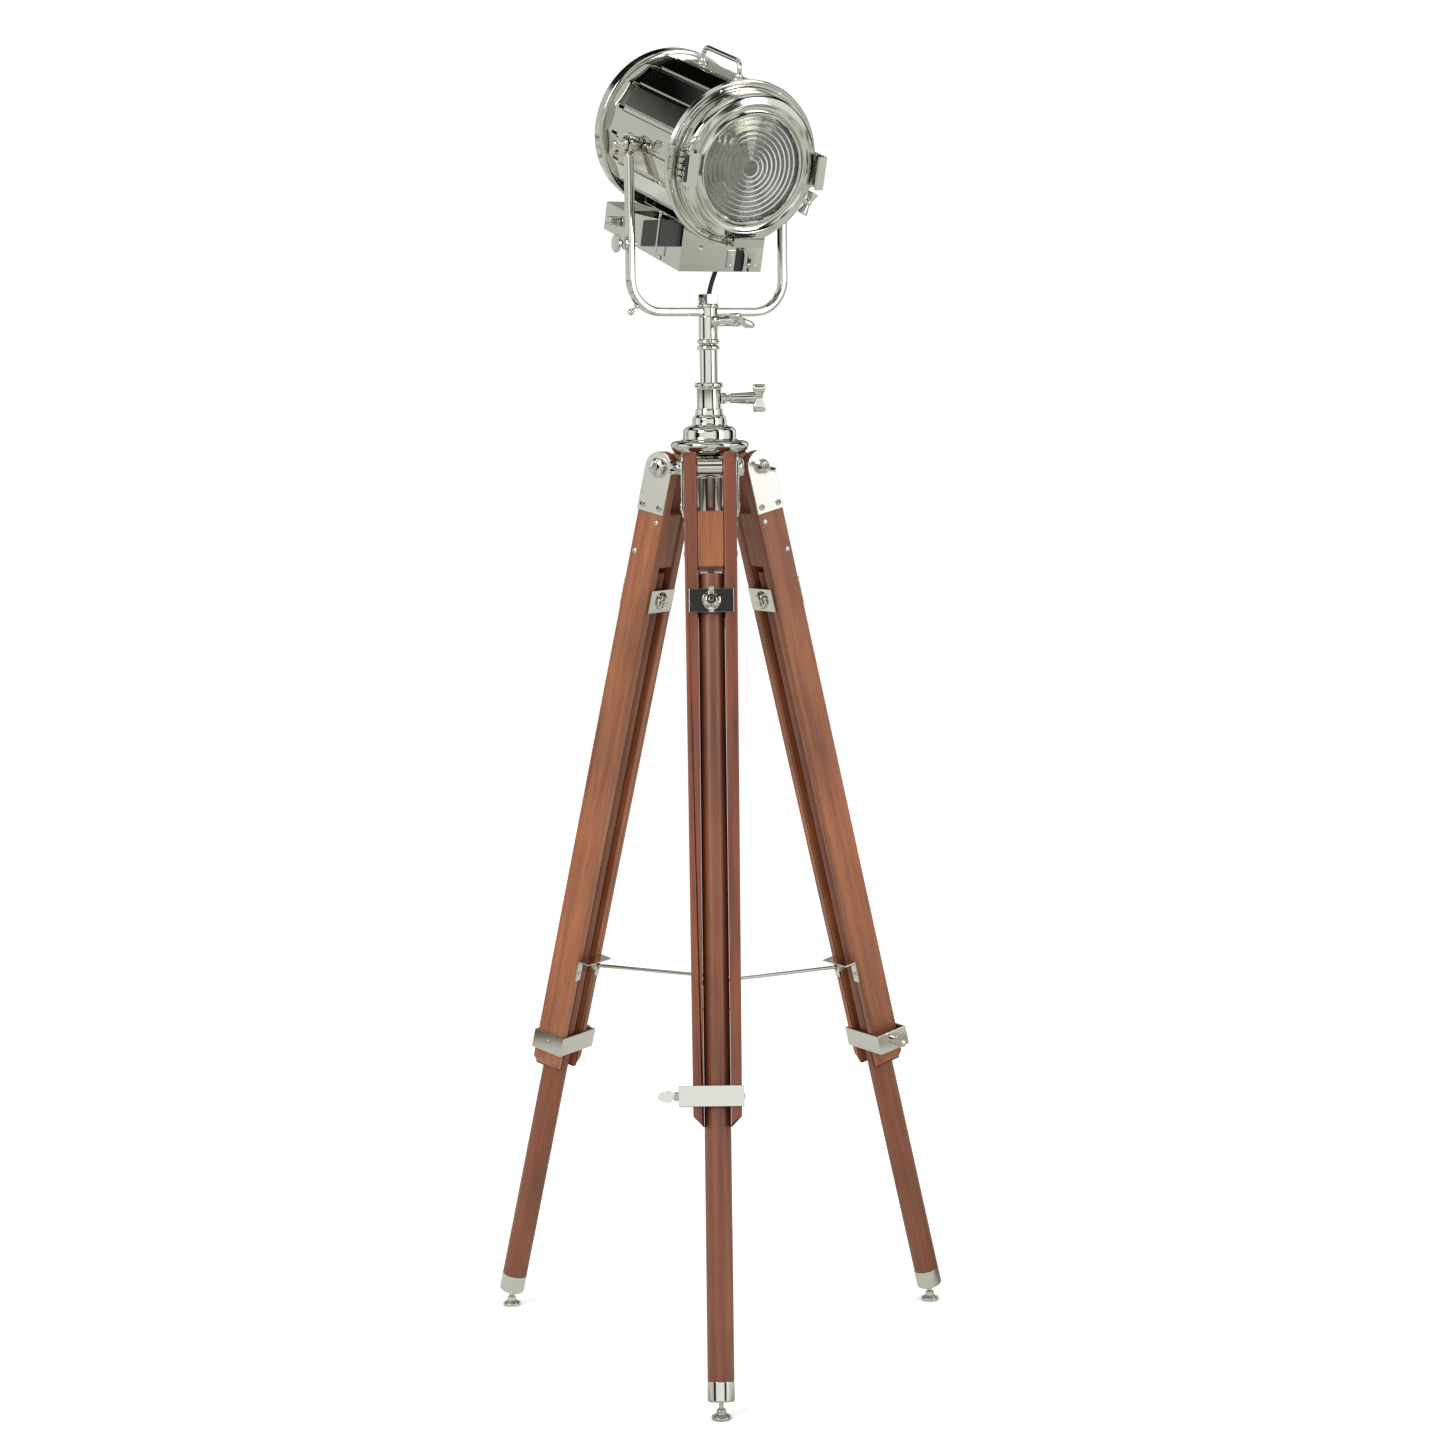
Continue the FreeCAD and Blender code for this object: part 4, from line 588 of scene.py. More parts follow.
for face in lens.data.polygons:
    if abs(face.normal.z) < 0.6 and Vector(face.center[:2]).length < (RING_EDGE - 1) * MM:
        face.material_index = 1
fit(lens, "fresnel_lens", placement=HEAD @ FORWARD)

# %% [markdown]
# The lens door is spun from sheet: a short tube, a rounded shoulder, a flat face, then a cove that
# falls back to a bead round the glass. Each turn of the outline catches one ring of light.

# %% Lens door
door = lathe("lens_door_ring", [
    (99.5, 109.2), (101.4, 109.2), (102, 110), (102, 122), (101.2, 122.8), (101.2, 124.6), (102, 125.4),
    (102, 129), (101.2, 132.5), (99, 135), (96, 136.6), (92.5, 137.4), (90.6, 138.8), (89, 139),
    (87.6, 138.4), (86, 136.6), (83, 135.4), (80.2, 135.2), (79, 136.4), (77.6, 138), (76, 138.9),
    (74.4, 138.8), (73.2, 137.6), (73.0, 135.8), (76, 135.6), (76, 129.2), (79.4, 128.4), (98.4, 124.4),
    (99.5, 123), (99.5, 109.2)], 96)
knuckle = lathe("door_knuckle", [(1.6, -7.5), (3.4, -7.5), (4, -6.9), (4, 6.9), (3.4, 7.5), (1.6, 7.5),
                                 (1.6, -7.5)], 24)
HINGE = (-110, -112)
move_mesh(knuckle, at(*HINGE, 0))
leaf = ease_edges(block("door_leaf", (-104.8, -113.6, 0), (6.6, 3, 15)), 0.5)
move_mesh(door, FORWARD)
door = weld("lens_door_ring", door, knuckle, leaf)
fit(door, "door_bezel", placement=HEAD)

# %% [markdown]
# The front flange is a cast ring with a bead at each edge, bolted to the drum. It carries the two
# outer knuckles of the hinge and the pin through them.

# %% Front flange
flange = lathe("front_flange", [
    (100.6, 98.3), (110.9, 98.3), (112.2, 98.5), (114.4, 99.2), (115.1, 100.4), (115.1, 101.8),
    (114.2, 102.8), (113.6, 103.4), (113.6, 104.4), (114.2, 105), (115.1, 105.8), (115.1, 106.6),
    (114.2, 107.6), (112.8, 108), (110.8, 107.8), (109.6, 106.9), (106.4, 106.8), (105.2, 107.8),
    (103.4, 107.9), (100.6, 107.7), (100.6, 98.3)], 96)
move_mesh(flange, FORWARD)
hinge = [flange]
for side in (-1, 1):
    outer = lathe("flange_knuckle", [(0, -7.2), (3.4, -7.2), (4, -6.6), (4, 6.6), (3.4, 7.2), (0, 7.2)], 24)
    hinge.append(move_mesh(outer, at(*HINGE, side * 15.6)))
    hinge.append(ease_edges(block("knuckle_root", (-110, -109.6, side * 15.6), (6.4, 4.2, 14.2)), 0.5))
pin = lathe("hinge_pin", [(0, -23.9), (2.2, -23.9), (2.6, -23.4), (2.6, -22.8), (1.4, -22.6), (1.4, 22.6),
                          (2.6, 22.8), (2.6, 23.4), (2.2, 23.9), (0, 23.9)], 16)
hinge.append(move_mesh(pin, at(*HINGE, 0)))
SCREW_CIRCLE = 107.9
for angle in (25, 62, 118, 152, 208, 248, 298, 335):
    spot = turn(angle, "Y") @ Vector((0, -106.8, SCREW_CIRCLE))
    hinge.append(slotted_screw("flange_screw", 2.2, 1.2, spot, (0, -1, 0)))
fit(weld("front_flange", *hinge), "front_collar", placement=HEAD)

# %% [markdown]
# The drum is a sheet tube with eighteen raised panels. Their faces are nearly flat, so each one
# mirrors a single strip of the room, which is what gives the drum its stripes. One panel's sector
# is modelled from a plane: cut at the panel's edges and at the air slot, the panel raised, the
# slot's faces deleted. A spin with duplicates then makes the drum, which gets its wall from a
# Solidify and its soft edges from a Bevel.

# %% Drum
PANELS = 18
SKIN, DRUM_FRONT, DRUM_BACK = 107.2, 98.0, 110.0
sector = math.pi / PANELS
half_width, facet = SKIN * math.sin(sector), SKIN * math.cos(sector)
panel_edge = half_width - 3.6
panel_foot = panel_edge + 1.4
PANEL_BACK, PANEL_FRONT, AIR_SLOT_END, PANEL_RAISE = -96.5, 66.0, 84.0, 2.6
CRADLE_WIDE, CRADLE_LONG = 7, 55


def select_faces(piece, test):
    """Selects the faces of the piece in edit mode whose middle and normal pass a test."""
    mesh = bmesh.from_edit_mesh(piece.data)
    for item in (*mesh.verts, *mesh.edges):
        item.select = False
    for face in mesh.faces:
        face.select = False
    for face in mesh.faces:
        if test(face.calc_center_median() / MM, face.normal):
            face.select = True
    mesh.select_flush_mode()
    bmesh.update_edit_mesh(piece.data)


def cut_through(place, normal):
    """Cuts all selected faces by a plane at a place in millimetres."""
    bpy.ops.mesh.bisect(plane_co=Vector(place) * MM, plane_no=normal, threshold=0.0001 * MM)
    bpy.ops.mesh.select_all(action="SELECT")


def lowest_panel(middle, normal):
    """Whether a face is on the raised panel at the drum's bottom."""
    return middle.z < -100 and abs(middle.x) < panel_edge and middle.y < PANEL_FRONT


drum = block("panelled_drum", (0, (DRUM_BACK - DRUM_FRONT) / 2, facet),
             (half_width * 2, DRUM_FRONT + DRUM_BACK, 1), bpy.ops.mesh.primitive_plane_add)
edit_all()
for across in (-panel_edge, panel_edge, -panel_foot, panel_foot):
    cut_through((across, 0, 0), (1, 0, 0))
for back in (PANEL_BACK, PANEL_FRONT, AIR_SLOT_END):
    cut_through((0, back, 0), (0, 1, 0))
select_faces(drum, lambda middle, normal: abs(middle.x) < panel_edge and PANEL_BACK < middle.y < PANEL_FRONT)
extrude_on((0, 0, PANEL_RAISE))
select_faces(drum, lambda middle, normal: abs(middle.x) > panel_foot and PANEL_FRONT < middle.y < AIR_SLOT_END)
bpy.ops.mesh.delete(type="FACE")
bpy.ops.mesh.select_all(action="SELECT")
bpy.ops.mesh.spin(steps=PANELS - 1, dupli=True, angle=2 * math.pi * (PANELS - 1) / PANELS,
                  center=(0, 0, 0), axis=(0, 1, 0))
merge_and_turn_out(0.01)
for place, normal in (((-CRADLE_WIDE, 0, 0), (1, 0, 0)), ((CRADLE_WIDE, 0, 0), (1, 0, 0)),
                      ((0, -CRADLE_LONG, 0), (0, 1, 0)), ((0, CRADLE_LONG, 0), (0, 1, 0))):
    select_faces(drum, lowest_panel)
    cut_through(place, normal)
select_faces(drum, lambda middle, normal: (middle.z < -100 and abs(middle.x) < CRADLE_WIDE
                                           and abs(middle.y) < CRADLE_LONG))
bpy.ops.mesh.delete(type="FACE")
bpy.ops.object.mode_set(mode="OBJECT")
modify(drum, "SOLIDIFY", thickness=1.2 * MM, offset=-1)
ease_edges(drum, 0.7, 35, 3)
fit(drum, "drum_shell", placement=HEAD, finish=NICKEL)

# %% [markdown]
# The rear cap is pressed sheet: a deep band over the drum's end with a rolled bead at its front,
# and a stepped, slightly domed back.

# %% Rear cap
cap = lathe("rear_cap", [
    (104.5, 101.2), (108.0, 101.0), (111.5, 101.4), (113, 102.2), (113.5, 103.2), (113, 104.2),
    (112.4, 105), (112.6, 106.4), (113.4, 107.4), (113.5, 122), (113.2, 124.2), (112, 126), (110, 126.9),
    (100, 127), (95, 127.2), (92.4, 128.6), (90, 129), (56, 131.2), (53, 131.8), (50.5, 132.8),
    (0, 132.9), (0, 131.7), (50, 131.6), (90, 127.8), (110, 125.6), (112, 123), (112, 107.6),
    (108, 103.2), (104.5, 103), (104.5, 101.2)], 96)
fit(cap, "back_cover", placement=HEAD @ turn(-90, "X"))

# %% [markdown]
# The carrying handle is one bent rod. A filled circle is extruded up as the leg, spun a quarter
# turn round the bend's middle, extruded along as the grip, spun again and extruded down. Its feet
# are turned flanges.

# %% Carrying handle
HANDLE_SPAN, HANDLE_RISE, HANDLE_BEND, HANDLE_MIDDLE, DRUM_TOP = 108, 21, 12, -14, 108.4


def draw_bar(section, stations, steps):
    """Extrudes a filled section by each step, or spins it by each (middle, axis, degrees); the section argument
    is not used: the active piece is drawn.
    """
    edit_all()
    for station in stations:
        if len(station) == 1:
            extrude_on(*station)
        else:
            middle, axis, degrees = station
            bpy.ops.mesh.spin(steps=steps, angle=math.radians(-degrees), center=Vector(middle) * MM, axis=axis)
    merge_and_turn_out()
    bpy.ops.object.mode_set(mode="OBJECT")


foot_place = HANDLE_MIDDLE + HANDLE_SPAN / 2
leg_height = HANDLE_RISE + 110.8 - DRUM_TOP - HANDLE_BEND
deselect()
bpy.ops.mesh.primitive_circle_add(vertices=20, radius=3.4 * MM, fill_type="NGON",
                                  location=Vector((0, foot_place, DRUM_TOP)) * MM)
grip = bpy.context.object
bpy.ops.object.transform_apply(location=True, rotation=True, scale=True)
draw_bar(grip, [
    ((0, 0, leg_height),), ((0, foot_place - HANDLE_BEND, DRUM_TOP + leg_height), (1, 0, 0), 90),
    ((0, HANDLE_BEND * 2 - HANDLE_SPAN, 0),),
    ((0, HANDLE_BEND + foot_place - HANDLE_SPAN, DRUM_TOP + leg_height), (1, 0, 0), 90),
    ((0, 0, -leg_height),)], 8)
handle = [grip]
for end in (-1, 1):
    flange_foot = lathe("handle_foot", [(0, 0), (9.4, 0), (9.6, 1.4), (8.2, 2.6), (5.6, 3.4), (5.2, 6.2),
                                        (4.6, 7.2), (3.2, 7.4), (0, 7.4)], 32)
    handle.append(move_mesh(flange_foot, at(0, HANDLE_MIDDLE + end * HANDLE_SPAN / 2, DRUM_TOP - 0.4)))
fit(weld("carrying_handle", *handle), "carry_handle", placement=HEAD)

# %% [markdown]
# The yoke is one bar, 14 by 12 mm with well rounded corners, bent twice and flattened into an eye
# at each end. A rectangle is extruded down the left arm, spun a quarter turn round the corner,
# extruded across, spun again and extruded up. A Bevel rounds the bar's long edges afterwards, so
# that they stay parallel through the bends.

# %% Yoke
BAR_WIDTH, BAR_THICKNESS, ARM_REACH, BEND = 14, 12, 121, 46
tilt_height = TILT_PLACE.z / MM
BAR_UNDER = tilt_height - 230 - BAR_THICKNESS / 2
bar_middle = BAR_UNDER + BAR_THICKNESS / 2
EYE_TOP = 12
arm_run = tilt_height - EYE_TOP - bar_middle - BEND
bar = block("yoke_bar", (-ARM_REACH, 0, tilt_height - EYE_TOP), (BAR_THICKNESS, BAR_WIDTH, 1),
            bpy.ops.mesh.primitive_plane_add)
draw_bar(bar, [
    ((0, 0, -arm_run),), ((-ARM_REACH + BEND, 0, bar_middle + BEND), (0, 1, 0), -90),
    ((2 * (ARM_REACH - BEND), 0, 0),), ((ARM_REACH - BEND, 0, bar_middle + BEND), (0, 1, 0), -90),
    ((0, 0, arm_run),)], 14)
ease_edges(bar, 4.2, 40, 4)
yoke = [bar]
for side in (-1, 1):
    eye = lathe("yoke_eye", [(6.4, -5.6), (13.6, -5.6), (15, -4.6), (15.5, -3), (15.5, 3), (15, 4.6),
                             (13.6, 5.6), (11.2, 5.6), (10.6, 4.9), (6.4, 4.9), (6.4, -5.6)], 48)
    yoke.append(move_mesh(eye, along((side, 0, 0), (side * ARM_REACH, 0, tilt_height))))
boss = lathe("yoke_boss", [(8.4, -6.0), (13, -6.0), (13.4, -5.4), (13.4, 5.4), (13, 6.0), (8.4, 6.0),
                           (8.4, -6.0)], 40)
yoke.append(move_mesh(boss, at(0, 0, bar_middle)))
washer = lathe("yoke_washer", [(5.2, 0.05), (14, 0.05), (15, 1.2), (15.1, 2.4), (15, 3.6), (14, 4.8),
                               (5.2, 4.9), (5.2, 0.05)], 40)
yoke.append(move_mesh(washer, at(0, 0, bar_middle + 6)))
nut = lathe("yoke_nut", [(5.2, 0), (15.2, 0), (15.2, 14), (5.2, 14), (5.2, 0)], 6)
ease_edges(nut, 1.1, 30, 3)
yoke.append(move_mesh(nut, at(0, 0, bar_middle + 11)))
stem = lathe("yoke_stem", [(5.1, -25), (7.9, -25), (7.9, 7), (5.1, 7), (5.1, -25)], 32)
yoke.append(move_mesh(stem, at(0, 0, bar_middle)))
corner = BEND * (1 - math.sqrt(0.5)) - 6 * math.sqrt(0.5)
tether = lathe("tether_lug", [(0, 0), (4.4, 0.4), (4.4, 2), (2.6, 4), (2.0, 6), (2.2, 8.4), (4, 10.4),
                              (4.8, 12.6), (4.6, 15), (3.2, 17.2), (0, 18)], 24)
yoke.append(move_mesh(tether, along((-1, 0, -1), (-ARM_REACH + corner, 0, bar_middle + corner))))
fit(weld("yoke_bar", *yoke), "yoke_strap", placement=PAN, finish=NICKEL)

# %% [markdown]
# Both clamp screws are the same casting: a collar, a grip that widens outward with a ball behind
# the wings, and two rounded lobes across its end. The lobes start as a block that is cut in three,
# narrowed at its middle and rounded by a Subdivision Surface. It is modelled once and copied.

# %% Winged clamp screws
def make_wings(span, height, thickness, middle):
    """Two rounded lobes across a screw's end, with a narrower bridge between them."""
    wings = block("screw_wings", (0, 0, middle), (thickness, span, height))
    edit_all("VERT")
    for place in (-0.27, -0.1, 0.1, 0.27):
        cut_through((0, span * place, 0), (0, 1, 0))
    for place in (-0.25, 0.25):
        cut_through((0, 0, middle + height * place), (0, 0, 1))
    bpy.ops.mesh.select_all(action="DESELECT")
    mesh = bmesh.from_edit_mesh(wings.data)
    for vert in mesh.verts:
        vert.select = abs(vert.co.y / MM) < span * 0.12
    bmesh.update_edit_mesh(wings.data)
    bpy.ops.transform.resize(value=(0.85, 1, 0.55))
    bpy.ops.object.mode_set(mode="OBJECT")
    modify(wings, "SUBSURF", levels=2, render_levels=2)
    return wings


def clamp_screw(name, stand, wing_turn):
    """A collar, a trumpet grip and its wings, along +Z from a stand-off in millimetres."""
    grip = lathe(name, [(r, stand + h) for r, h in (
        (0, 0), (7.4, 0), (8, 0.8), (8, 4.6), (7.2, 5.8), (5.4, 6.6), (4.8, 8.4), (5.0, 11), (6.6, 12.2),
        (7.4, 13.4), (6.9, 15), (7.2, 20), (8.0, 32), (8.7, 43), (8.7, 45.4), (7.6, 46.8), (4.4, 47.4),
        (4.0, 50), (4.0, 54), (0, 54))], 40)
    return weld(name, grip, move_mesh(make_wings(40, 19, 9, stand + 53), turn(wing_turn, "Z")))


for kind, stand, wing_turn, points_to in (("collar", 17.6, 0, 0), ("swivel", 13.8, 65, -45)):
    height = JOINTS[f"{kind}_handle_turn"]["pos_m"][2]
    fit(clamp_screw(f"{kind}_clamp_screw", stand, wing_turn), f"{kind}_handle",
        placement=Matrix.Translation((0, 0, height)) @ turn(points_to, "Z") @ along((1, 0, 0)))

# %% [markdown]
# The crown is a stack of turned rings with round shoulders and fine grooves between them, spun as
# one outline. The column, its bead and the sleeve above it are turned the same way.

# %% Crown, column and sleeve
CROWN = 1278.0
crown = lathe("turned_crown", [(r, CROWN + h) for r, h in (
    (12.7, 0), (38, 0), (42, 0.6), (47, 3), (51, 6.4), (54, 10.4), (55, 13), (55.2, 15.6), (54.6, 17.6),
    (53, 19.4), (50, 20.8), (46, 21.6), (40.5, 22.0), (39.6, 22.8), (38.4, 23.2), (37.6, 24.6),
    (37.5, 28), (37.5, 33), (37.0, 36), (35.6, 38.4), (33, 40.4), (29.5, 41.6), (26.4, 42.0),
    (25.2, 43), (24.4, 44.6), (24.0, 47), (24.0, 51), (23.4, 53.6), (22.0, 55.6), (20.4, 56.8),
    (19.8, 57.4), (19.9, 59), (19.4, 61), (19.2, 64.4), (18.6, 65.8), (17.4, 66.4), (17.2, 68),
    (17.2, 93), (17.6, 95), (18.8, 95.8), (19.8, 97), (19.9, 99), (19.8, 101), (18.8, 102.4),
    (17.4, 103), (12.7, 103), (12.7, 0))], 96)
fit(crown, "crown_cap")
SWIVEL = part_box("swivel_sleeve")[0].z / MM - 0.5
foot_of_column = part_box("column_tube")[0].z / MM
column = lathe("column_tube_turned", [(9, foot_of_column), (12, foot_of_column), (12.5, foot_of_column + 0.6),
                                      *((r, SWIVEL + h) for r, h in (
    (12.5, -7.9), (13.2, -7.7), (15, -7.0), (16.1, -5.8), (16.2, -3.8), (15.2, -2), (13.6, -1.2), (13.2, -0.2),
    (10, -0.1), (10, 30), (7, 30), (7, -4), (9, -8))), (9, foot_of_column)], 64)
fit(column, "column_tube", finish=NICKEL)
sleeve = lathe("swivel_sleeve_turned", [(r, SWIVEL + h) for r, h in (
    (10.15, 0.5), (13.2, 0.5), (15, 1.6), (15.9, 3.4), (15.6, 5.4), (14.2, 7), (13.4, 7.8), (13.3, 9),
    (13.3, 38.4), (12.8, 39.4), (8.2, 39.4), (8.2, 31), (10.15, 31), (10.15, 0.5))], 64)
fit(sleeve, "swivel_sleeve", finish=NICKEL)

# %% [markdown]
# The tilt locks are wing nuts with long paddles, and the screw through the left arm has a thin
# disc for a head. The studs they turn on have a ribbed bush between drum and yoke.

# %% Tilt locks, studs and arm screw
for side, name in ((-1, "left"), (1, "right")):
    boss = lathe(f"tilt_lock_{name}", [
        (0, 0.2), (12.4, 0.2), (13, 1), (13, 4.4), (12, 5.6), (9.6, 6.4), (8.6, 8), (8.4, 10), (7.4, 11.6),
        (5, 12.6), (4.4, 15.4), (3, 16.6), (0, 16.8)], 40)
    paddles = move_mesh(make_wings(50, 12, 7, 8), turn(30 - 90 * side, "Z"))
    fit(weld(f"tilt_lock_{name}", boss, paddles), f"tilt_wing_{name}",
        placement=PAN @ along((side, 0, 0), (side * 127.2, 0, tilt_height)))
studs = []
for side in (-1, 1):
    stud = lathe("trunnion_stud", [
        (0, 101.6), (11, 101.6), (11, 104.4), (6.1, 104.6), (6.1, 108.9), (10.8, 109.1),
        (11.2, 109.8), (10.2, 110.4), (11.2, 111), (10.2, 111.6), (11.2, 112.2), (10.2, 112.8),
        (11.2, 113.4), (11, 114.4), (6.0, 114.6), (6.0, 127), (0, 127)], 36)
    studs.append(move_mesh(stud, along((side, 0, 0))))
fit(weld("trunnion_studs", *studs), "trunnion_pins", placement=HEAD)
arm_screw_height = JOINTS["thumbscrew_turn"]["pos_m"][2] / MM
arm_screw = lathe("arm_thumb_screw", [
    (0, -3), (3, -3), (3, 12.4), (8.4, 12.5), (9, 13.2), (9, 15), (8.2, 15.8), (5, 16.2), (4.2, 17.4),
    (5.6, 18.4), (5.8, 20), (4.2, 21.2), (3.6, 23.2), (5, 24.6), (12, 25.4), (12.9, 26.2), (13, 28.2),
    (12.3, 29.4), (11, 29.9), (0, 29.6)], 48)
fit(arm_screw, "arm_thumbscrew", placement=PAN @ along((-1, 0, 0), (-115, 0, arm_screw_height)))

# %% [markdown]
# The pinch screw that holds the door shut is a stub with a bar of two trumpets across its end,
# which is easy to grip with gloves.

# %% Door pinch screw
stub = lathe("door_pinch_screw", [(0, 115.4), (5.2, 115.4), (5.6, 116), (5.6, 117.4), (4.6, 118.6),
                                  (3.6, 119.6), (3.5, 127), (0, 127)], 28)
trumpets = lathe("pinch_trumpets", [
    (0, -16.4), (3.4, -16.6), (3.8, -16.2), (6.4, -16.6), (7.3, -16.2), (7.5, -15.4), (6.9, -12), (5.4, -7.6),
    (4.3, -3.4), (5.0, -1.6), (5.2, 0), (5.0, 1.6), (4.3, 3.4), (5.4, 7.6), (6.9, 12), (7.5, 15.4),
    (7.3, 16.2), (6.4, 16.6), (3.8, 16.2), (3.4, 16.6), (0, 16.4)], 28)
move_mesh(trumpets, along((1, 0, 0), (0, 0, 127.5)))
latch_axis = HEAD.to_3x3().inverted() @ Vector(JOINTS["latch_turn"]["axis"])
latch_turn = math.degrees(math.atan2(latch_axis.x, latch_axis.z))
fit(weld("door_pinch_screw", stub, trumpets), "door_latch",
    placement=HEAD @ at(0, -103, 0) @ turn(latch_turn, "Y"))

# %% [markdown]
# Three channels on the door hold a filter frame. Each is a strip folded into a U, with a lip at
# its open side, small rollers inside and a riveted root. The fold is made by extruding one strip
# of faces along the section, then giving it the sheet's thickness, and the clip is modelled once
# and copied round the door.

# %% Filter-frame channels
CLIP_WALL, CLIP_WIDTH = 104.2, 46


def make_clip(name, turn_by):
    """One U channel at the top of the door, turned to its place round the drum's axis."""
    clip = block(name, (0, -124, CLIP_WALL), (CLIP_WIDTH, 2, 1), bpy.ops.mesh.primitive_plane_add)
    edit_all("EDGE")

    def pull(test, step):
        """Extrudes the boundary edge whose middle passes a test."""
        mesh = bmesh.from_edit_mesh(clip.data)
        for item in (*mesh.faces, *mesh.edges, *mesh.verts):
            item.select = False
        for edge in mesh.edges:
            middle = (edge.verts[0].co + edge.verts[1].co) / 2 / MM
            across = abs(edge.verts[0].co.x - edge.verts[1].co.x) / MM > CLIP_WIDTH * 0.9
            if across and test(middle):
                edge.select_set(True)
        bmesh.update_edit_mesh(clip.data)
        extrude_on(step)

    pull(lambda place: place.y < -124.5, (0, -14.4, 0))
    pull(lambda place: place.y < -139, (0, 0, -10.4))
    pull(lambda place: place.y < -139 and place.z > CLIP_WALL - 1, (0, -17.2, 0))
    pull(lambda place: place.y < -156, (0, 0, -10.4))
    pull(lambda place: place.y < -156 and place.z < CLIP_WALL - 9, (0, 2.2, -1.4))
    bpy.ops.object.mode_set(mode="OBJECT")
    modify(clip, "SOLIDIFY", thickness=1.6 * MM, offset=0)
    ease_edges(clip, 0.45, 40, 2)
    parts = [clip]
    for across in (-17, 17):
        roller = lathe("clip_roller", [(0, -4), (2.2, -4), (2.6, -3.4), (2.6, 3.4), (2.2, 4), (0, 4)], 16)
        parts.append(move_mesh(roller, along((1, 0, 0), (across, -148.4, CLIP_WALL - 3.4))))
        for back in (-128, -134):
            head_place = (across * 0.62, back, CLIP_WALL + 0.7)
            parts.append(slotted_screw("clip_screw", 2.4, 1.3, head_place, (0, 0, 1)))
    for knuckle in range(-2, 3):
        barrel = lathe("clip_knuckle", [(0, -3), (3.9, -3), (4.3, -2.5), (4.3, 2.5), (3.9, 3), (0, 3)], 20)
        parts.append(move_mesh(barrel, along((1, 0, 0), (knuckle * 8.6, -131, CLIP_WALL + 1.2))))
    # A thin black sheet on the channel's top, where no slot is cut: a painted shadow of the slot.
    slot_shadow = block("clip_slot", (0, -144.4, CLIP_WALL + 0.9), (CLIP_WIDTH * 0.8, 6.5, 0.7))
    pin = lathe("clip_pin", [(0, -21), (2.6, -21), (2.6, 21), (0, 21)], 16)
    for dark in (slot_shadow, move_mesh(pin, along((1, 0, 0), (0, -131, CLIP_WALL + 1.2)))):
        dark.data.materials.append(BLACK)
        parts.append(dark)
    parts.append(ease_edges(block("clip_root", (0, -126, 102.2), (CLIP_WIDTH * 0.72, 6, 3.6)), 0.8))
    clip.data.materials.append(SHEET_NICKEL)
    return move_mesh(weld(name, *parts), turn(turn_by, "Y"))


clips = [make_clip("clip_right", 90), make_clip("clip_bottom", 180), make_clip("clip_left", 270)]
hand_screw = lathe("clip_hand_screw", [(0, 0), (3, 0), (3, 7), (5.8, 7.4), (6.2, 8.6), (5, 9.8), (4.4, 12),
                                       (11.4, 13), (12, 14), (12, 15.4), (11.2, 16.2), (0, 16.4)], 36)
clips.append(move_mesh(hand_screw, along((0, -1, 0), (15, -126.5, -112))))
clips.append(ease_edges(block("clip_bracket", (12, -124.5, -108), (16, 3.4, 16)), 0.8))
wing_lever = lathe("clip_lever", [(0, 0), (3.2, 0), (3.4, 4), (2.6, 6), (3.4, 12), (4.6, 17), (4.4, 19.6),
                                  (2.6, 21), (0, 21.4)], 20)
clips.append(move_mesh(wing_lever, along((0.75, -0.2, 0.6), (-103, -131, 27))))
fit(weld("filter_frame_channels", *clips), "frame_clips", placement=HEAD)

# %% [markdown]
# The control housing is folded sheet: a box under the drum, with a cradle cut by the drum itself
# and a lower tail behind. The outline is one face, extruded across its width, cut by a cylinder,
# and its bends are rounded. Screws and two small latch plates sit on its front.

# %% Control housing
BOX_HALF, BOX_FRONT, BOX_TAIL, BOX_LOW, TAIL_TOP, SIDE_TOP, TAIL_START = 65, -86, 155, -157, -117, -92, 100
FLEX_HOLE = (8, -62, BOX_LOW)
FOCUS_BACK, FOCUS_HEIGHT = 108, -134.95
housing = block("control_housing", (0, (BOX_FRONT + BOX_TAIL) / 2, (BOX_LOW + SIDE_TOP) / 2),
                (BOX_HALF * 2, BOX_TAIL - BOX_FRONT, SIDE_TOP - BOX_LOW))
edit_all()
cut_through((0, TAIL_START, 0), (0, 1, 0))
select_faces(housing, lambda middle, normal: normal.z > 0.9 and middle.y > TAIL_START)
bpy.ops.transform.translate(value=(0, 0, (TAIL_TOP - SIDE_TOP) * MM))
bpy.ops.object.mode_set(mode="OBJECT")
drum_space = lathe("drum_space", [(0, -130), (111.2, -130), (111.2, 140), (0, 140)], 96)
move_mesh(drum_space, along((0, 1, 0)))
hollow = block("housing_hollow", (0, (BOX_FRONT + 98.5) / 2 + 0.2, -120), (127, 98.5 - BOX_FRONT - 3, 71))
tail_hollow = block("tail_hollow", (0, 125, -137), (127, 57, 37))
flex_hole = lathe("flex_hole", [(0, -6), (6.2, -6), (6.2, 6), (0, 6)], 24)
move_mesh(flex_hole, at(*FLEX_HOLE))
shaft_hole = lathe("shaft_hole", [(0, -6), (4.3, -6), (4.3, 6), (0, 6)], 24)
move_mesh(shaft_hole, along((1, 0, 0), (-BOX_HALF, FOCUS_BACK, FOCUS_HEIGHT)))
cut_out(housing, drum_space, hollow, tail_hollow, flex_hole, shaft_hole)
ease_edges(housing, 1.0, 50, 3)
details = [housing]
for place in ((-35, BOX_FRONT, -124), (44, BOX_FRONT, -148)):
    details.append(slotted_screw("housing_screw", 4.0, 1.8, place, (0, -1, 0)))
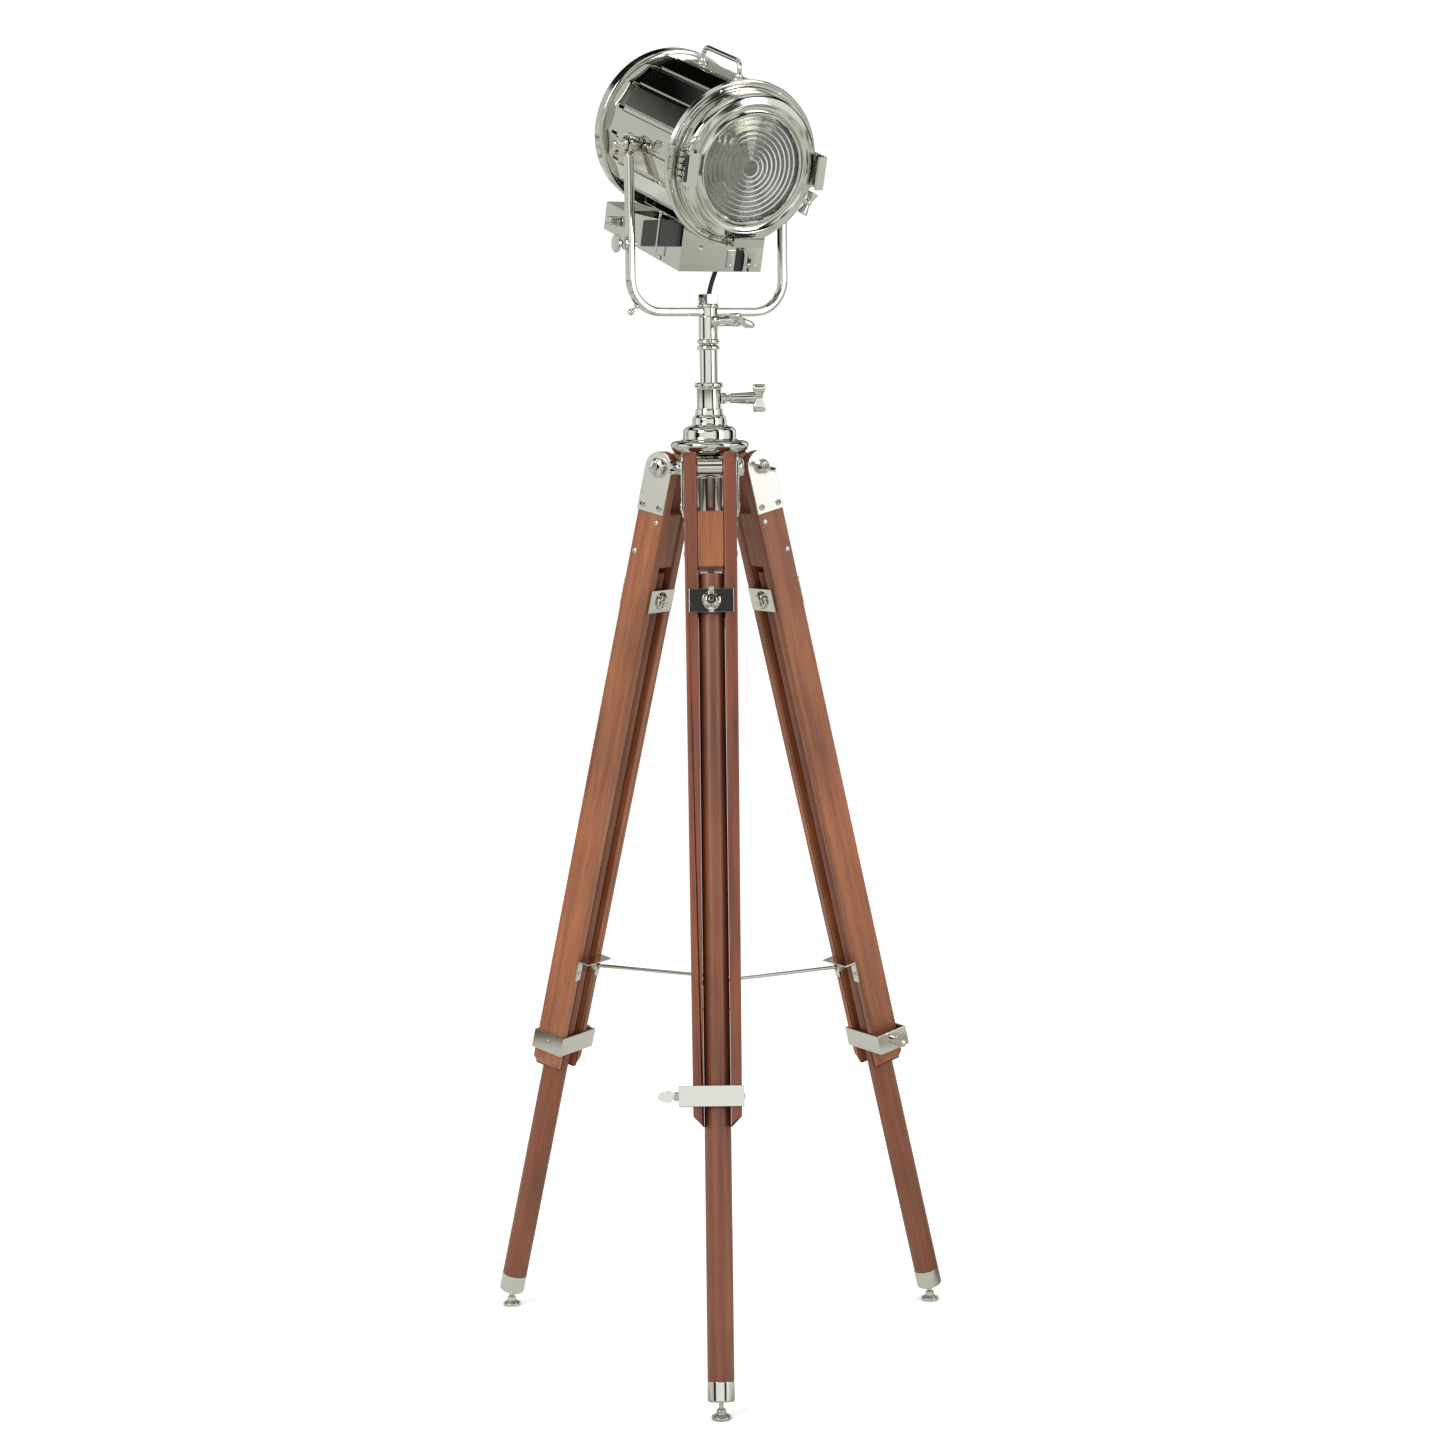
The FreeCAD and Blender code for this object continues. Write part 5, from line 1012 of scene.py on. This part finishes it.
# A black sheet between the latch plates, standing a little proud of the front: painted shade of a recess.
recess_shade = block("painted_latch_recess_shade", (33.5, BOX_FRONT - 0.4, -139), (23, 1.6, 34))
recess_shade.data.materials.append(BLACK)
housing.data.materials.append(SHEET_NICKEL)
details.append(recess_shade)
for across, wide in ((14, 12), (53, 14)):
    details.append(ease_edges(block("latch_plate", (across, BOX_FRONT - 1.2, -139), (wide, 2.4, 26)), 0.7))
    for height in (-132, -147):
        head_place = (across, BOX_FRONT - 2.4, height)
        details.append(slotted_screw("plate_screw", 2.0, 1.1, head_place, (0, -1, 0)))
catch = lathe("latch_catch", [(0, -17), (3.2, -17), (3.6, -16), (3, -12), (2.6, -4), (3, 4), (4, 12),
                              (5.4, 15), (5.4, 16.4), (0, 17)], 20)
details.append(move_mesh(catch, at(36, BOX_FRONT - 4, -138)))
for back in (-60, 30, 90, 148):
    low = -134 if back > TAIL_START else -100
    details.append(slotted_screw("side_screw", 2.6, 1.4, (BOX_HALF, back, low), (1, 0, 0)))
    for across in (50, -50):
        details.append(slotted_screw("floor_screw", 2.6, 1.4, (across, back, BOX_LOW), (0, 0, -1)))
gland = lathe("flex_gland", [(3.5, -1), (8.4, -1), (8.6, 0), (8.2, 1.6), (6.4, 2.2), (3.5, 2.2),
                             (3.5, -1)], 28)
details.append(move_mesh(gland, along((0, 0, -1), FLEX_HOLE)))
fit(weld("control_housing", *details), "control_box", placement=HEAD)

# %% [markdown]
# The terminal cover is one moulding with soft corners and a slight pillow to its face. Its outline
# is a plane sheared by moving its front corners up, then extruded outward and eased. A nickel
# spring clip with a screw at each end holds it.

# %% Terminal cover
cover = block("terminal_cover", (-68.4, -29, -131), (6.6, 108, 38))
edit_all("VERT")
bpy.ops.mesh.select_all(action="DESELECT")
mesh = bmesh.from_edit_mesh(cover.data)
for vert in mesh.verts:
    vert.select = vert.co.y < -0.05
bmesh.update_edit_mesh(cover.data)
bpy.ops.transform.translate(value=(0, 0, 27 * MM))
bpy.ops.mesh.select_mode(type="FACE")
bpy.ops.mesh.select_all(action="SELECT")
bpy.ops.mesh.bisect(plane_co=Vector((0, -66, -91.6)) * MM, plane_no=(0, 0, 1), clear_outer=True, use_fill=True)
bpy.ops.object.mode_set(mode="OBJECT")
ease_edges(cover, 2.6, 30, 4)
cover.data.materials.append(BLACK)
spring = ease_edges(block("cover_clip", (-72.4, -26, -120.5), (1.6, 3.6, 62)), 0.6)
clip_ends = [slotted_screw("clip_screw", 3.0, 1.6, (across, -26, height), (-1, 0, 0))
             for across, height in ((-71.2, -92.5), (-66.2, -153))]
spring = weld("cover_clip", spring, *clip_ends)
spring.data.materials.append(NICKEL)
fit(weld("terminal_cover", cover, spring), "box_panel", placement=HEAD)

# %% [markdown]
# The focus knob is a short cylinder with a rounded end; only its shaft goes on into the housing,
# to the roller under the runner.

# %% Focus knob, lamp and reflector
knob = lathe("focus_knob_turned", [
    (0, -72), (9.9, -72), (9.95, -71.4), (9.95, -60.6), (9.9, -60), (4, -60), (4, -9.4), (4, 0.6),
    (6.4, 0.8), (7.3, 1.6), (7.5, 3), (7.5, 15), (7.2, 17), (6.2, 18.4), (4.6, 19), (0, 19)], 40)
fit(knob, "focus_knob", placement=HEAD @ along((-1, 0, 0), (-65.6, FOCUS_BACK, FOCUS_HEIGHT)))
bulb = lathe("lamp_bulb_glass", [
    (10.5, -50), (11.4, -46), (13, -38), (17, -28), (22.6, -14), (25.4, -5), (26, 0), (25.2, 6.6),
    (22.4, 13.2), (18, 18.8), (12, 23), (6, 25.3), (0, 26)], 48)
bulb.data.materials.append(BULB_GLASS)
cap_brass, _, _ = new_finish("lacquered_brass_cap", "#C8884A", 1.0, 0.22)
bulb_cap = lathe("lamp_bulb_cap", [(0, -63.8), (12.6, -63.8), (13, -63), (13, -51), (12.2, -49.8),
                                   (10.4, -49.4), (0, -49.2)], 40)
bulb_cap.data.materials.append(cap_brass)
filament = lathe("lamp_filament", [(0, -20), (1.4, -20), (1.4, -2), (7.5, 3), (7.5, 4.4), (0, 4.6)], 20)
filament.data.materials.append(cap_brass)
fit(weld("lamp_bulb_glass", bulb, bulb_cap, filament), "lamp_bulb", placement=HEAD @ at(0, 5, 0))
dish = lathe("reflector_dish", [
    (0, 0), (14, -0.9), (28, -3.8), (40, -8.6), (49, -14.6), (54.4, -19.8), (56, -22), (57.2, -22),
    (55.4, -18.8), (49.6, -13.4), (40.4, -7.2), (28, -2.6), (14, 0.3), (0, 1.2)], 72)
fit(dish, "reflector", placement=HEAD @ along((0, 1, 0), (0, 52, 0)))

# %% [markdown]
# The flex is 6.6 mm round black PVC. It leaves the hollow nut upward and goes into the housing's
# floor, with nothing to hold it between, so it bows in one easy curve. It is a NURBS spline on the
# route's own points, with the flex's real thickness as its bevel. It is then made a mesh.

# %% Flex
strap_top = bar_middle + BAR_THICKNESS / 2
NUT_TOP = 19
flex_start = Vector((0, 0, strap_top + 2)) * MM
flex_bend = Vector((0, 0, strap_top + NUT_TOP + 6)) * MM
flex_exit = HEAD @ (Vector(FLEX_HOLE) * MM)
flex_end = flex_exit + (flex_exit - flex_bend).normalized() * 2 * MM
flex_line = bpy.data.curves.new("lamp_flex", "CURVE")
flex_line.dimensions = "3D"
route = flex_line.splines.new("NURBS")
stops = (flex_start, flex_bend, flex_end)
route.points.add(len(stops) - 1)
for point, stop in zip(route.points, stops):
    point.co = (*stop, 1)
route.order_u = 3
route.use_endpoint_u = True
route.resolution_u = 24
flex_line.bevel_depth = 3.3 * MM
flex_line.bevel_resolution = 6
flex_line.use_fill_caps = True
flex_line.materials.append(RUBBER)
flex = bpy.data.objects.new("lamp_flex", flex_line)
bpy.context.scene.collection.objects.link(flex)
bare_line = flex_line.copy()
bare_line.bevel_depth = 0
bare = bpy.data.objects.new("flex_centre", bare_line)
bpy.context.scene.collection.objects.link(bare)
centre_mesh = bpy.data.meshes.new_from_object(bare.evaluated_get(bpy.context.evaluated_depsgraph_get()))
centre = [tuple(vert.co) for vert in centre_mesh.vertices]
bpy.data.objects.remove(bare)
flex_length = sum((Vector(a) - Vector(b)).length for a, b in zip(centre, centre[1:]))
print("the flex is", round(flex_length / MM, 1), "mm long")
take(flex)
bpy.ops.object.convert(target="MESH")
flex = bpy.context.object
flex.name = "lamp_flex"
bpy.ops.object.shade_smooth_by_angle(angle=math.radians(40))
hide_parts("lamp_cord")
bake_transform(flex)

# %% [markdown]
# The tripod's fittings are sawn, pressed and cast pieces whose shapes the design already has to
# the millimetre. What the design lacks is the worn edge that catches the light. So each is a copy
# of the design's mesh, with its loose triangles merged, its flat faces made whole again, and its
# sharp edges rounded by the width that its maker's file or wheel would leave.

# %% Eased copies
def eased_copy(node, width, segments=2, extras=()):
    """A merged copy of a design piece's mesh with its sharp edges rounded, in millimetres."""
    piece = block(f"{node}_finished", (0, 0, 0), (1, 1, 1), bpy.ops.mesh.primitive_plane_add)
    piece.data = frame["nodes"][node].data.copy()
    piece.data.materials.clear()
    edit_all()
    bpy.ops.mesh.remove_doubles(threshold=0.004 * MM)
    bpy.ops.mesh.dissolve_limited(angle_limit=math.radians(0.5))
    bpy.ops.object.mode_set(mode="OBJECT")
    ease_edges(piece, width, 40, segments, clamped=False)
    return fit(weld(piece.name, piece, *extras), node)


def rail_screws(leg):
    """Four countersunk screws, two on each side, that hold the rails to their spacer block."""
    places = [(side, side * (37 - 0.008 * (down - 65)), across, -down)
              for side in (-1, 1) for across, down in ((12, 78), (-14, 125))]
    screws = [slotted_screw("rail_screw", 3.6, 1.2, place, (side, 0, 0)) for side, *place in places]
    return [move_mesh(screw, leg_frame(leg)) for screw in screws]


EASED = {"clamp_band": 0.5, "band_screw": 0.3, "stay_bracket": 0.4, "stay_rod": 0.3,
         "guide_plates": 0.5, "guide_wing": 0.8, "level_foot": 0.5, "foot_ferrule": 0.4, "lower_leg": 1.0}
PLATE_FACE = 40
for leg in LEG_ANGLE:
    for piece_kind, width in EASED.items():
        eased_copy(f"{piece_kind}_{leg}", width)
    fittings = eased_copy(f"pivot_fittings_{leg}", 0.5, extras=rail_screws(leg))
    fittings.data.materials.append(SATIN_NICKEL)
    to_leg = leg_frame(leg).inverted()
    for face in fittings.data.polygons:
        away = (to_leg @ face.center).x / MM
        if abs(abs(away) - PLATE_FACE) < 0.2 and abs((to_leg.to_3x3() @ face.normal).x) > 0.99:
            face.material_index = 1
for node, width, segments in (("lug_body", 1.2, 3), ("stay_hub", 0.8, 3), ("lamp_carriage", 0.4, 2)):
    eased_copy(node, width, segments)

# %% [markdown]
# A rail is planed from a beech board, its long edges taken off with a small round cutter before
# staining. The stain then darkens the rounded edge. The same way of easing does it, with a wider
# radius and more steps, because wood is rounded far more than metal.

# %% Wooden rails
SPACER_HALF = 18.2
for leg in LEG_ANGLE:
    rails = eased_copy(f"rails_{leg}", 2.4, 4)
    if leg == "front":
        # The spacer's faces take the lighter copy of the same beech: painted light.
        rails.data.materials.append(SPACER_WOOD)
        to_leg = leg_frame(leg).inverted()
        for face in rails.data.polygons:
            if abs((to_leg @ face.center).x) < SPACER_HALF * MM:
                face.material_index = 1
